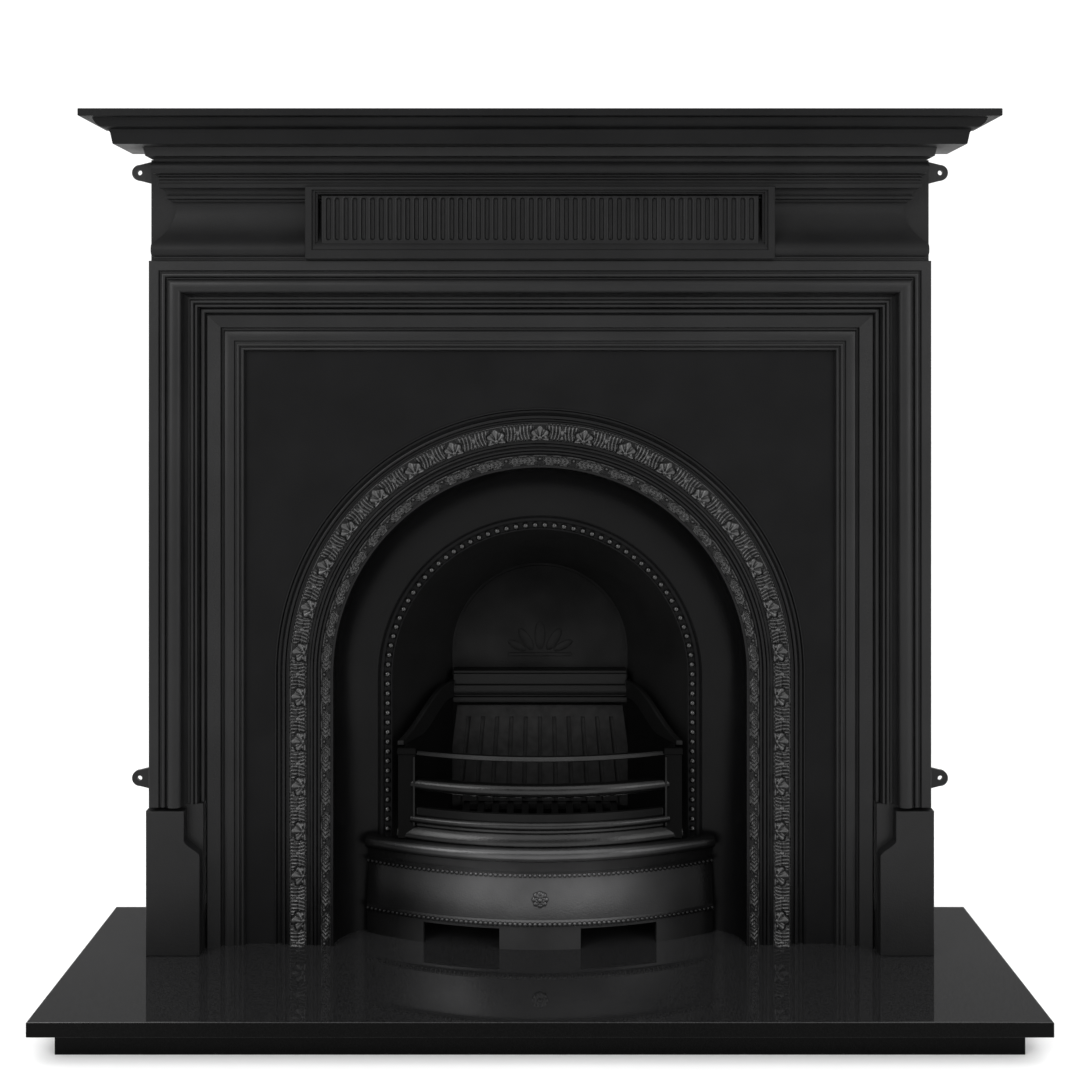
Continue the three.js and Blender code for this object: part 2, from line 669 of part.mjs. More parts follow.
// The basket's front: three bowed bars, the bead and fascia below them, and the two end posts.
function grateFront() {
  const { radius, front, halfChord, segments } = BARS;
  const inner = bowPlaces(radius, front, Math.asin(halfChord / radius) * 1.02, segments);
  const wide = bowPlaces(radius, front, Math.asin(POST.outer / radius), segments);
  const topBar = [
    [radius - 10, 279.5], [radius - 1, 279.5], [radius, 281], [radius - 0.5, 285],
    [radius - 2, 286.5], [radius - 10, 286.5],
  ];
  const lowBar = [
    [radius - 9, 176], [radius, 176], [radius + 3.5, 178], [radius + 5, 182.8], [radius + 3, 187.5],
    [radius - 1, 189.5], [radius - 1, 199], [radius - 2, 200], [radius - 9, 200],
  ];
  const fascia = [
    [radius - 14, 153], [radius + 4, 153], [radius + 6, 156], [radius + 5, 161], [radius + 1, 168],
    [radius - 3, 172], [radius - 3, 176.5], [radius - 14, 176.5],
  ];
  const parts = [
    sweep(topBar, inner),
    sweep(roundSection(radius - 7.5, 234.5, 10.5, 8), inner),
    sweep(lowBar, inner),
    sweep(fascia, wide),
  ];
  const { out, thickness, low, high } = POST;
  const fillet = 3;
  for (const side of [-1, 1]) {
    const across = (from, to) => (side < 0 ? [-to, -from] : [from, to]);
    parts.push(block(across(POST.inner, POST.outer), [out, out + thickness], [low, high]));
    const edge = across(POST.inner, POST.inner + fillet);
    parts.push(block(edge, [out, out + thickness + fillet], [low + 20, high - 4]));
    const cap = across(POST.inner - 1, POST.outer + 1);
    parts.push(block(cap, [out, out + thickness + CAP.reach], [CAP.low - 1, CAP.high]));
  }
  return join(parts);
}

// The ash pit cover: a bowed front with rolled top, two bead lines, two air vents and a rosette.
function ashpitCover() {
  const { radius, front, halfWidth, wall, segments, top } = COVER;
  const places = bowPlaces(radius, front, Math.asin(halfWidth / radius), segments);
  const section = [
    [radius - wall, 0], [radius, 0], [radius, 35], [radius + 3, 37], [radius + 3, 42],
    [radius, 44.5], [radius - 3, 104.5], [radius - 4, 108], [radius + 1, 109.5], [radius + 1, 114],
    [radius - 4, 116], [radius - 1.5, 130.5], [radius + 3, 132], [radius + 6.5, 136],
    [radius + 7, 142], [radius + 4, 148], [radius - 1, top], [radius - 9, top],
    [radius - 9, top - 8], [radius - wall - 3, top - 16], [radius - wall - 3, 104.5],
  ];
  const shell = sweep(section, places);
  const vents = [-1, 1].map((side) => {
    const x = side < 0 ? [-VENT.outer, -VENT.inner] : [VENT.inner, VENT.outer];
    return block(x, [front - 60, front + 20], [-10, VENT.height]);
  });
  const flower = [];
  for (let i = 0; i < ROSETTE.petals * 2; i += 1) {
    const angle = (Math.PI * i) / ROSETTE.petals;
    const reach = i % 2 ? ROSETTE.radius : ROSETTE.radius * 0.8;
    flower.push([reach * Math.cos(angle), reach * Math.sin(angle)]);
  }
  const layer = (out, share) => (x, up) => [x * share, -out, up * share + ROSETTE.up];
  const petals = sweep(flower, [layer(front - 3, 1), layer(front + 1.5, 1), layer(front + 4, 0.7)]);
  const boss = new THREE.OctahedronGeometry(5, 1);
  boss.translate(0, -front - 3, ROSETTE.up);
  return join([cut(shell, vents), petals, boss]);
}

// Assembly: everything hangs in one group whose origin is under the middle of the whole.
const lowest = -HEARTH.slab - HEARTH.plinth;
const rearmost = BOX.rear - GAP - BACK.thickness;
const fireplace = new THREE.Group();
fireplace.position.set(0, (HEARTH.depth + rearmost) / 2, -lowest);

fireplace.add(mesh("hearth_slab", hearthSlab(), GRANITE));
fireplace.add(mesh("hearth_plinth", hearthPlinth(), GRANITE));
fireplace.add(mesh("surround_frame", surroundFrame(), IRON));
fireplace.add(mesh("frieze", frieze(), IRON));
fireplace.add(mesh("mantel_shelf", mantelShelf(), IRON));
for (const [side, hand] of [[-1, "left"], [1, "right"]]) {
  fireplace.add(mesh(`foot_block_${hand}`, footBlock(side), IRON));
  fireplace.add(mesh(`side_cheek_${hand}`, sideCheek(side), IRON));
  for (const [level, height] of Object.entries(LUG_HEIGHTS)) {
    fireplace.add(mesh(`fixing_lug_${level}_${hand}`, fixingLug(side, height), IRON));
  }
}
fireplace.add(mesh("insert_plate", insertPlate(), IRON));
fireplace.add(mesh("inner_arch", innerArch(), IRON));
fireplace.add(mesh("firebox", firebox(), IRON));
fireplace.add(mesh("fireback", fireback(), IRON));
fireplace.add(mesh("flue_collar", flueCollar(), IRON));
fireplace.add(mesh("hob_rail", hobRail(), IRON));
fireplace.add(mesh("firebrick", firebrick(), BRICK_FINISH));
fireplace.add(mesh("bottom_grate", bottomGrate(), IRON));
fireplace.add(mesh("grate_front", grateFront(), IRON));
fireplace.add(mesh("ashpit_cover", ashpitCover(), IRON));

export default fireplace;
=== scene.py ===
# A black cast-iron fireplace with an arched insert, on a polished granite hearth.
# Sizes are in millimetres: "out" is the distance in front of the hearth's back edge,
# and "up" is the height above the hearth's top. Materials and the stage are in metres.

import math

import bmesh
import bpy
import numpy as np
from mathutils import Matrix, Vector


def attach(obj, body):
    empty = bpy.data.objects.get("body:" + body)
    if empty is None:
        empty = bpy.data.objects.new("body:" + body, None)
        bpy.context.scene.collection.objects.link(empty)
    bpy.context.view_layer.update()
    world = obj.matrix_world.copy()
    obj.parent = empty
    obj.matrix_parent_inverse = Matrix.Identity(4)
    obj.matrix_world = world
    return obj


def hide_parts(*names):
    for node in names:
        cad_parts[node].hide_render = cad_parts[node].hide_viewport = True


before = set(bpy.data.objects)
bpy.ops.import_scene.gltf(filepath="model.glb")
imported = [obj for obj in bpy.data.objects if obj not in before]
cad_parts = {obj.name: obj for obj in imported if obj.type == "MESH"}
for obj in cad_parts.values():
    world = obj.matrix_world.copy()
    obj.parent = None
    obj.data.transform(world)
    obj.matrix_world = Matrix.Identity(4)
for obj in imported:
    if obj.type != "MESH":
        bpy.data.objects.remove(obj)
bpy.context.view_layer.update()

# The hearth's top over the floor, and its back edge behind the frame's middle
BASE = 58.0
BACK_EDGE = 144.85

HEARTH_HALF, HEARTH_DEPTH, SLAB_THICK = 686.0, 381.0, 21.0
PLINTH_INSET = 28.4

# The wall that the surround and the insert lie against
WALL = 130.0
FRAME_HALF, FRAME_TOP = 579.5, 1031.0
FOOT_TOP = 221.0
PLATE_HALF, PLATE_TOP, PLATE_FACE = 482.5, 935.0, 138.0

# Radii of the arch's parts, and the heights of their centres
LEAF_OUTER, LEAF_INNER = 378.0, 352.6
BUD_OUTER, BUD_INNER = 331.0, 315.0
OPENING, ARCH_SPRING = 312.0, 410.0
COVE_RADIUS, COVE_SPRING = 252.0, 391.0
HOOD_SPRING = 397.0

# The level that the grate's bars and the brick stand on
FIRE_FLOOR = 150.0


# Shapes


def smoothstep(value, start, end):
    share = min(max((value - start) / (end - start), 0), 1)
    return share * share * (3 - 2 * share)


def trace(points, steps=6):
    """A section's points; a third number makes the stretch to a point a half-ellipse or a soft bow."""
    line = [tuple(points[0][:2])]
    for point in points[1:]:
        (a0, b0), (a1, b1) = line[-1], point[:2]
        rise = point[2] if len(point) > 2 else 0
        if rise:
            soft = len(point) > 3
            side = 1 if a1 >= a0 else -1
            length = math.hypot(a1 - a0, b1 - b0)
            normal = (-(b1 - b0) * side / length, abs(a1 - a0) / length)
            for k in range(1, steps):
                angle = math.pi * k / steps
                share = k / steps if soft else (1 - math.cos(angle)) / 2
                swell = rise * (4 * share * (1 - share) if soft else math.sin(angle))
                a = a0 + (a1 - a0) * share + normal[0] * swell
                line.append((a, b0 + (b1 - b0) * share + normal[1] * swell))
        line.append((a1, b1))
    return line


def over_floor(up):
    """Heights above the hearth's top as metres over the floor."""
    return (up + BASE) / 1000


def to_metres(points):
    x, out, up = np.array(points, float).T
    return np.column_stack([x / 1000, (BACK_EDGE - out) / 1000, over_floor(up)])


def make_mesh(name, points, faces, crease=32):
    """A mesh object from points (x, out, up) in millimetres, faces turned to point outwards."""
    data = bpy.data.meshes.new(name)
    data.from_pydata(to_metres(points).tolist(), [], faces)
    data.validate()
    data.update()
    obj = bpy.data.objects.new(name, data)
    bpy.context.scene.collection.objects.link(obj)
    turn_faces_outwards(data)
    data.shade_smooth()
    data.set_sharp_from_angle(angle=math.radians(crease))
    flatten_broad_faces(data)
    return obj


def flatten_broad_faces(data, width=0.012):
    """Faces broader than a curve's facets are flat, and keep the rounds beside them from tinting them."""
    corners = np.array([v.co for v in data.vertices])
    for face in data.polygons:
        ring = corners[list(face.vertices)]
        longest = np.linalg.norm(ring - np.roll(ring, 1, axis=0), axis=1).max()
        if face.area > width * longest:
            face.use_smooth = False


def turn_faces_outwards(data):
    edited = bmesh.new()
    edited.from_mesh(data)
    bmesh.ops.recalc_face_normals(edited, faces=edited.faces)
    edited.to_mesh(data)
    edited.free()


def band_faces(count, here, after):
    """Faces between two loops of count points, which start at here and after."""
    faces = []
    for i in range(count):
        j = (i + 1) % count
        faces.append((here + i, here + j, after + j, after + i))
    return faces


def sweep_faces(count, stations):
    """Faces between the loops of a sweep, with a cap at either end."""
    faces = []
    for s in range(stations - 1):
        faces += band_faces(count, s * count, (s + 1) * count)
    faces.append(tuple(reversed(range(count))))
    last = (stations - 1) * count
    faces.append(tuple(last + i for i in range(count)))
    return faces


def ring_faces(count, loops):
    """Faces between loops of which the last joins the first again, as round a hole."""
    faces = []
    for s in range(loops):
        faces += band_faces(count, s * count, (s + 1) % loops * count)
    return faces


def swept(name, section, places, crease=32):
    """A closed section carried through places; each place maps a section point to (x, out, up)."""
    points = [place(a, b) for place in places for a, b in section]
    return make_mesh(name, points, sweep_faces(len(section), len(places)), crease)


class Parts:
    """Collects several closed shapes into one mesh."""

    def __init__(self):
        self.points = []
        self.faces = []

    def add(self, points, faces):
        start = len(self.points)
        self.points.extend(points)
        self.faces.extend(tuple(start + i for i in face) for face in faces)

    def sweep(self, section, places):
        points = [place(a, b) for place in places for a, b in section]
        self.add(points, sweep_faces(len(section), len(places)))

    def block(self, x, out, up, soft=0.0):
        """A box, its edges cut back by soft millimetres."""
        rings = [(up[0], soft), (up[0] + soft, 0.0), (up[1] - soft, 0.0), (up[1], soft)]
        points = []
        for height, inset in rings:
            left, right, back, front = x[0] + inset, x[1] - inset, out[0] + inset, out[1] - inset
            points += [(left, back, height), (left, front, height)]
            points += [(right, front, height), (right, back, height)]
        self.add(points, sweep_faces(4, 4))

    def ball(self, centre, radius, stretch=(1, 1, 1), around=10, rings=6):
        """A round bead, or an egg where it is stretched."""
        x, out, up = centre
        wide, deep, high = (radius * share for share in stretch)
        points = [(x, out, up + high)]
        for r in range(1, rings):
            polar = math.pi * r / rings
            c, s = math.cos(polar), math.sin(polar)
            for i in range(around):
                turn = 2 * math.pi * i / around
                px, po = x + wide * s * math.cos(turn), out + deep * s * math.sin(turn)
                points.append((px, po, up + high * c))
        points.append((x, out, up - high))
        faces = []
        for i in range(around):
            j = (i + 1) % around
            faces.append((0, 1 + i, 1 + j))
            last = 1 + (rings - 2) * around
            faces.append((len(points) - 1, last + j, last + i))
            for r in range(rings - 2):
                a = 1 + r * around
                faces.append((a + i, a + around + i, a + around + j, a + j))
        self.add(points, faces)

    def build(self, name, crease=32):
        return make_mesh(name, self.points, self.faces, crease)


def relief(name, lay, us, vs, height, floor, crease=60):
    """A raised sheet: height(u, v) over a grid laid out by lay(u, v, out), with sides to a flat back."""
    grid_u, grid_v = np.meshgrid(us, vs, indexing="ij")
    top = height(grid_u, grid_v)
    rows, columns = len(us), len(vs)
    points = [lay(us[i], vs[j], top[i, j]) for i in range(rows) for j in range(columns)]
    faces = []
    for i in range(rows - 1):
        for j in range(columns - 1):
            here, after = i * columns + j, (i + 1) * columns + j
            faces.append((here, here + 1, after + 1, after))
    rim = [(i, 0) for i in range(rows)]
    rim += [(rows - 1, j) for j in range(1, columns)]
    rim += [(i, columns - 1) for i in range(rows - 2, -1, -1)]
    rim += [(0, j) for j in range(columns - 2, 0, -1)]
    start = len(points)
    points += [lay(us[i], vs[j], floor) for i, j in rim]
    for k in range(len(rim)):
        n = (k + 1) % len(rim)
        a = rim[k][0] * columns + rim[k][1]
        b = rim[n][0] * columns + rim[n][1]
        faces.append((a, b, start + n, start + k))
    under = {cell: start + k for k, cell in enumerate(rim)}
    last = columns - 1
    for i in range(rows - 1):
        faces.append((under[i, 0], under[i + 1, 0], under[i + 1, last], under[i, last]))
    return make_mesh(name, points, faces, crease)


# The arch line: straight legs and a half circle, each radius with its own centre height


def spring_at(radius):
    """The height of the arch's centre for a radius: lower for the back of the cove."""
    share = min(max((radius - COVE_RADIUS) / (OPENING - COVE_RADIUS), 0), 1)
    return COVE_SPRING + (ARCH_SPRING - COVE_SPRING) * share


def arch_places(spring, segments=96):
    """Places for a section of (radius, out), from the left foot over the crown to the right foot."""
    places = [lambda r, out: (-r, out, 0)]
    for i in range(segments + 1):
        turn = math.pi - math.pi * i / segments
        places.append(
            lambda r, out, turn=turn: (r * math.cos(turn), out, spring(r) + r * math.sin(turn))
        )
    places.append(lambda r, out: (r, out, 0))
    return places


def along_arch(radius, spring, run, offset=0.0):
    """The point at a run of length from the left foot, shifted outwards by offset."""
    arc = math.pi * radius
    if run < spring:
        return (-radius - offset, run)
    if run > spring + arc:
        return (radius + offset, 2 * spring + arc - run)
    turn = math.pi - (run - spring) / radius
    reach = radius + offset
    return (reach * math.cos(turn), spring + reach * math.sin(turn))


# Materials


def node_material(name):
    material = bpy.data.materials.new(name)
    material.use_nodes = True
    tree = material.node_tree
    shader = tree.nodes["Principled BSDF"]
    place = add_node(tree, "TexCoord")
    return material, tree, shader, place


def add_node(tree, kind, **values):
    """A new node with sockets set by name, an underscore standing for a space."""
    node = tree.nodes.new("ShaderNode" + kind)
    for name, value in values.items():
        node.inputs[name.replace("_", " ")].default_value = value
    return node


def colour_mix(tree, factor):
    mix = add_node(tree, "Mix")
    mix.data_type = "RGBA"
    tree.links.new(factor, mix.inputs["Factor"])
    return mix


# Most of a noise's values lie between these two
NOISE_LOW, NOISE_HIGH = 0.3, 0.7


def noise(tree, place, scale, detail=4.0):
    texture = add_node(tree, "TexNoise", Scale=scale, Detail=detail, Roughness=0.55)
    tree.links.new(place.outputs["Object"], texture.inputs["Vector"])
    return texture.outputs["Fac"]


def spread(tree, value, low, high):
    """A noise stretched over the numbers from low to high."""
    span = add_node(tree, "MapRange", From_Min=NOISE_LOW, From_Max=NOISE_HIGH, To_Min=low, To_Max=high)
    tree.links.new(value, span.inputs["Value"])
    return span.outputs["Result"]


def ramp(tree, value, low, high):
    """A noise turned into the colours from low to high."""
    colours = add_node(tree, "ValToRGB")
    stops = zip(colours.color_ramp.elements, (NOISE_LOW, NOISE_HIGH), (low, high))
    for stop, position, colour in stops:
        stop.position = position
        stop.color = (*colour, 1)
    tree.links.new(value, colours.inputs["Fac"])
    return colours.outputs["Color"]


def fading(tree, place, axis, bright_at, dark_at, share):
    """A factor that goes from 1 to share along an axis, the same on either side of the middle."""
    parts = add_node(tree, "SeparateXYZ")
    tree.links.new(place.outputs["Object"], parts.inputs["Vector"])
    size = add_node(tree, "Math")
    size.operation = "ABSOLUTE"
    tree.links.new(parts.outputs[axis], size.inputs[0])
    fall = add_node(tree, "MapRange", From_Min=bright_at, From_Max=dark_at, To_Min=1.0, To_Max=share)
    fall.interpolation_type = "SMOOTHSTEP"
    tree.links.new(size.outputs[0], fall.inputs["Value"])
    return fall.outputs["Result"]


def darkened(tree, colour, factor):
    """The colour itself where the factor is 1, and black where it is 0."""
    mix = colour_mix(tree, factor)
    mix.inputs["A"].default_value = (0, 0, 0, 1)
    tree.links.new(colour, mix.inputs["B"])
    return mix.outputs["Result"]


def rubbed(tree, colour, worn):
    """The colour with a lighter grey on the ridges."""
    edges = add_node(tree, "NewGeometry")
    rub = add_node(tree, "MapRange", From_Min=0.5, From_Max=0.62)
    tree.links.new(edges.outputs["Pointiness"], rub.inputs["Value"])
    mix = colour_mix(tree, rub.outputs["Result"])
    tree.links.new(colour, mix.inputs["A"])
    mix.inputs["B"].default_value = (worn, worn, worn * 1.02, 1)
    return mix.outputs["Result"]


def grainy(tree, place, shader, scale, detail, strength, depth):
    """A fine raised grain all over the surface."""
    bump = add_node(tree, "Bump", Strength=strength, Distance=depth)
    tree.links.new(noise(tree, place, scale, detail), bump.inputs["Height"])
    tree.links.new(bump.outputs["Normal"], shader.inputs["Normal"])


def iron(name, tone, rough, specular, worn=0.0, metal=0.0, axis_fade=None):
    """Blackened cast iron with a fine sandy skin; worn brightens ridges, and a fade darkens it along an
    axis.

    Bare, polished iron is mostly metal, so that its tone is its gloss and the fade darkens that too.
    """
    material, tree, shader, place = node_material(name)
    patches = noise(tree, place, 9.0)
    colour = ramp(tree, patches, tuple(c * 0.75 for c in tone), tuple(c * 1.25 for c in tone))
    if worn:
        colour = rubbed(tree, colour, worn)
    shader.inputs["Specular IOR Level"].default_value = specular
    shader.inputs["Metallic"].default_value = metal
    # The fade: on the cover and the basket, painted shade towards the ends that leaves a painted
    # highlight across the middle; on the fireback, darker towards the top
    if axis_fade:
        colour = darkened(tree, colour, fading(tree, place, *axis_fade))
    tree.links.new(colour, shader.inputs["Base Color"])
    polish = spread(tree, noise(tree, place, 14.0), rough * 0.88, rough * 1.12)
    tree.links.new(polish, shader.inputs["Roughness"])
    grainy(tree, place, shader, 420.0, 3.0, 0.35, 0.0006)
    return material


def granite(name, tone, ior):
    """Polished stone with fine, close flecks."""
    material, tree, shader, place = node_material(name)
    flecks = add_node(tree, "TexVoronoi", Scale=420.0)
    tree.links.new(place.outputs["Object"], flecks.inputs["Vector"])
    colour = ramp(tree, flecks.outputs["Distance"], tone, tuple(c * 0.5 for c in tone))
    tree.links.new(colour, shader.inputs["Base Color"])
    polish = spread(tree, noise(tree, place, 60.0), 0.03, 0.055)
    tree.links.new(polish, shader.inputs["Roughness"])
    shader.inputs["IOR"].default_value = ior
    return material


def brick(name):
    """Fireclay, with painted shade darkening it below the basket's top bar."""
    material, tree, shader, place = node_material(name)
    patches = noise(tree, place, 40.0)
    unshaded = ramp(tree, patches, (0.0045, 0.0045, 0.0045), (0.0095, 0.0092, 0.0092))
    # Painted shade: darker below the level of the basket's top bar, down to 0.35 of its tone
    soot_and_shade = fading(tree, place, "Z", over_floor(285), over_floor(235), 0.35)
    tree.links.new(darkened(tree, unshaded, soot_and_shade), shader.inputs["Base Color"])
    tree.links.new(spread(tree, noise(tree, place, 90.0), 0.7, 0.95), shader.inputs["Roughness"])
    shader.inputs["Specular IOR Level"].default_value = 0.25
    grainy(tree, place, shader, 600.0, 4.0, 0.5, 0.0008)
    return material


IRON_SURROUND = iron("iron_surround", (0.0055, 0.0055, 0.0057), 0.46, 0.22)
# A darker copy of the surround's iron for the shelf and its cornice: painted shade
IRON_SHELF_SHADED = iron("iron_shelf_shaded", (0.0035, 0.0035, 0.0037), 0.5, 0.1)
IRON_FRIEZE = iron("iron_frieze", (0.0055, 0.0055, 0.0057), 0.48, 0.14)
IRON_PLATE = iron("iron_plate", (0.0035, 0.0035, 0.0037), 0.6, 0.08)
IRON_ARCH = iron("iron_arch", (0.0025, 0.0025, 0.0027), 0.34, 0.16)
IRON_COVE = iron("iron_cove", (0.0022, 0.0022, 0.0023), 0.32, 0.09)
IRON_LEAVES = iron("iron_leaves", (0.013, 0.013, 0.013), 0.32, 0.6, worn=0.04)
IRON_BUDS = iron("iron_buds", (0.005, 0.005, 0.005), 0.34, 0.42, worn=0.02)
IRON_BEADS = iron("iron_beads", (0.005, 0.005, 0.005), 0.22, 0.55)
# The cover, the bars and the ledge over the lower bar darken along X towards their ends: painted shade
# there, leaving a painted highlight across the middle
IRON_COVER = iron(
    "iron_cover", (0.072, 0.072, 0.073), 0.2, 0.05, metal=0.7, axis_fade=("X", 0.062, 0.23, 0.12)
)
IRON_BARS = iron(
    "iron_bars", (0.033, 0.033, 0.033), 0.2, 0.05, metal=0.92, axis_fade=("X", 0.07, 0.2, 0.35)
)
IRON_DULL = iron(
    "iron_dull", (0.0126, 0.0126, 0.0126), 0.5, 0.02, metal=0.76, axis_fade=("X", 0.08, 0.19, 0.5)
)
IRON_SOOTED = iron("iron_sooted", (0.0025, 0.0025, 0.0025), 0.7, 0.12)
IRON_BLACK = iron("iron_black", (0.001, 0.001, 0.001), 0.6, 0.05)
IRON_HOB = iron("iron_hob", (0.0028, 0.0028, 0.0028), 0.42, 0.135)
# The fireback gets darker towards the top, from 375 to 530 mm above the hearth
FIREBACK_DARKER_UP = ("Z", over_floor(375), over_floor(530), 0.5)
IRON_FIREBACK = iron(
    "iron_fireback", (0.0158, 0.0158, 0.0158), 0.7, 0.02, metal=0.8, axis_fade=FIREBACK_DARKER_UP
)
GRANITE = granite("black_granite", (0.0175, 0.0175, 0.018), 1.42)
# A darker, less glossy copy of the same granite for the slab's sides and the plinth: painted shade
GRANITE_SHADED = granite("black_granite_shaded", (0.0018, 0.0018, 0.0018), 1.15)
BRICK = brick("sooted_firebrick")


def finished(obj, material, node):
    """Gives a piece its material and its body, and hides the solid that it stands for."""
    obj.data.materials.append(material)
    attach(obj, "root")
    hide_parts(node)
    return obj


def split_materials(obj, rule, other):
    """Gives the faces that a rule picks another material."""
    obj.data.materials.append(other)
    for face in obj.data.polygons:
        if rule(face):
            face.material_index = len(obj.data.materials) - 1


# Hearth


def rounded_slab(name, half, depth, up, arris):
    """A block with its edges rounded off by the arris, less so along the back."""
    lower = []
    for k in range(5):
        angle = math.pi / 2 * k / 4
        lower.append((up[0] + arris * (1 - math.cos(angle)), arris * (1 - math.sin(angle))))
    rings = lower + [(up[0] + up[1] - height, inset) for height, inset in reversed(lower)]
    points = []
    for height, inset in rings:
        side, back, front = half - inset, inset * 0.3, depth - inset
        points += [(-side, back, height), (-side, front, height)]
        points += [(side, front, height), (side, back, height)]
    return make_mesh(name, points, sweep_faces(4, len(rings)), 40)


slab = rounded_slab("hearth_top", HEARTH_HALF, HEARTH_DEPTH, (-SLAB_THICK, 0), 1.6)
finished(slab, GRANITE, "hearth_slab")
# The slab's sides and underside take the darker copy: painted shade
split_materials(slab, lambda face: face.normal.z < 0.3, GRANITE_SHADED)
# The plinth is all in the darker copy: painted shade
plinth = rounded_slab(
    "hearth_base",
    HEARTH_HALF - PLINTH_INSET,
    HEARTH_DEPTH - PLINTH_INSET,
    (-BASE, -SLAB_THICK - 0.05),
    0.6,
)
finished(plinth, GRANITE_SHADED, "hearth_plinth")


# Surround frame: an architrave mitred at the top corners

FRAME_WIDTH, FRAME_LAP = 134.0, 138.5
# Where the part of the section begins that runs down beside the foot blocks
LEG_START = 77.4

# Points of (distance from the frame's outer edge, out)
FRAME_SECTION = trace(
    [
        # Flat outer border
        (0, WALL), (0, 183.2), (0.8, 184), (14.0, 184), (14.8, 183.2),
        # Small bead
        (15.8, 180), (17.6, 180), (24.4, 180.4, 3.6),
        # Large roll
        (25.2, 178.6), (26.6, 178.6), (27.0, 181.5), (48.0, 180.0, 7.4),
        # Hollow, with a bead, a fillet and a deeper bead
        (53.2, 165.5, -1.5, "soft"), (56.4, 165.5), (57.2, 167.4), (62.2, 167.4, 2.0),
        (63.2, 165.2), (64.6, 166.8), (67.4, 166.8), (68.4, 162), (69.4, 155.6),
        (76.4, 155.6, 3.0), (77.4, 152.6), (79.2, 154.8), (80.2, 155.6),
        # Sloping flat and a swelling one
        (97.8, 148.0), (99.0, 142.4), (101.0, 142.4), (104.0, 146.0, -0.6, "soft"),
        (117.6, 146.0, 1.2, "soft"), (119.0, 143.0), (121.2, 143.0),
        # Beads against the plate
        (122.0, 144.6), (125.6, 144.6, 0.6), (126.6, 142.2), (127.8, 142.2),
        (132.6, 142.6, 3.2),
        # Back, stepped over the plate
        (FRAME_WIDTH, FRAME_LAP), (94, FRAME_LAP), (94, WALL),
    ],
    8,
)


def surround_frame():
    """The whole section over the foot blocks, and its inner half down beside them."""
    foot = FOOT_TOP + 0.3
    places = [
        lambda d, out: (d - FRAME_HALF, out, foot),
        lambda d, out: (d - FRAME_HALF, out, FRAME_TOP - d),
        lambda d, out: (FRAME_HALF - d, out, FRAME_TOP - d),
        lambda d, out: (FRAME_HALF - d, out, foot),
    ]
    parts = Parts()
    parts.sweep(FRAME_SECTION, places)
    leg = [p for p in FRAME_SECTION if p[0] >= LEG_START and p[1] > FRAME_LAP]
    leg += [(FRAME_WIDTH, FRAME_LAP), (LEG_START, FRAME_LAP)]
    for side in (-1, 1):
        legs = [
            lambda d, out, side=side: (side * (FRAME_HALF - d), out, 0),
            lambda d, out, side=side: (side * (FRAME_HALF - d), out, foot),
        ]
        parts.sweep(leg, legs)
    return parts.build("surround_architrave", 28)


finished(surround_frame(), IRON_SURROUND, "surround_frame")


def drawn_in(outline, inset):
    """An outline that runs clockwise, moved inwards by the inset."""
    a = np.array(outline, float)
    before = a - np.roll(a, 1, axis=0)
    after = np.roll(a, -1, axis=0) - a
    before /= np.linalg.norm(before, axis=1)[:, None]
    after /= np.linalg.norm(after, axis=1)[:, None]
    inward = np.column_stack([before[:, 1] + after[:, 1], -(before[:, 0] + after[:, 0])])
    inward /= np.maximum(1 + np.sum(before * after, axis=1), 0.4)[:, None]
    return a + inward * inset


def foot_block(side):
    """A block under the end of the frame, narrowed by a curved shoulder near its top."""
    outer, inner, neck, top = 584.5, 504.5, 527.7, 215.0
    shoulder_foot, shoulder_rise = 147.5, 23.8
    middle, face = 165.0, 182.0
    parts = Parts()
    x = sorted((side * outer, side * (inner - 1)))
    parts.block(x, (WALL, middle), (0, FOOT_TOP), 0.8)
    outline = [(outer, 0), (inner, 0)]
    for i in range(13):
        share = i / 12
        px = inner + (neck - inner) * smoothstep(share, 0, 1)
        outline.append((px, shoulder_foot + shoulder_rise * share))
    outline += [(neck, top), (outer, top)]
    points = []
    for out, inset in ((middle - 1, 0), (face - 1.4, 0), (face - 0.4, 0.45), (face, 1.5)):
        points += [(side * px, out, up) for px, up in drawn_in(outline, inset)]
    parts.add(points, sweep_faces(len(outline), 4))
    return parts.build("foot_left" if side < 0 else "foot_right", 28)


finished(foot_block(-1), IRON_SURROUND, "foot_block_left")
finished(foot_block(1), IRON_SURROUND, "foot_block_right")


# Frieze and shelf: rectangles stacked with mitred corners


# How far a moulding juts at the front, as a share of its jut at the ends
FRONT_SHARE = 0.8


def stack(parts, levels, half, face, back, widest=math.inf):
    """Levels of (up, jut) round the front and the ends, no end standing out beyond the widest."""
    points = []
    for up, jut in levels:
        front = face + FRONT_SHARE * jut
        end = min(half + jut, widest)
        points += [(-end, back, up), (-end, front, up), (end, front, up), (end, back, up)]
    parts.add(points, sweep_faces(4, len(levels)))


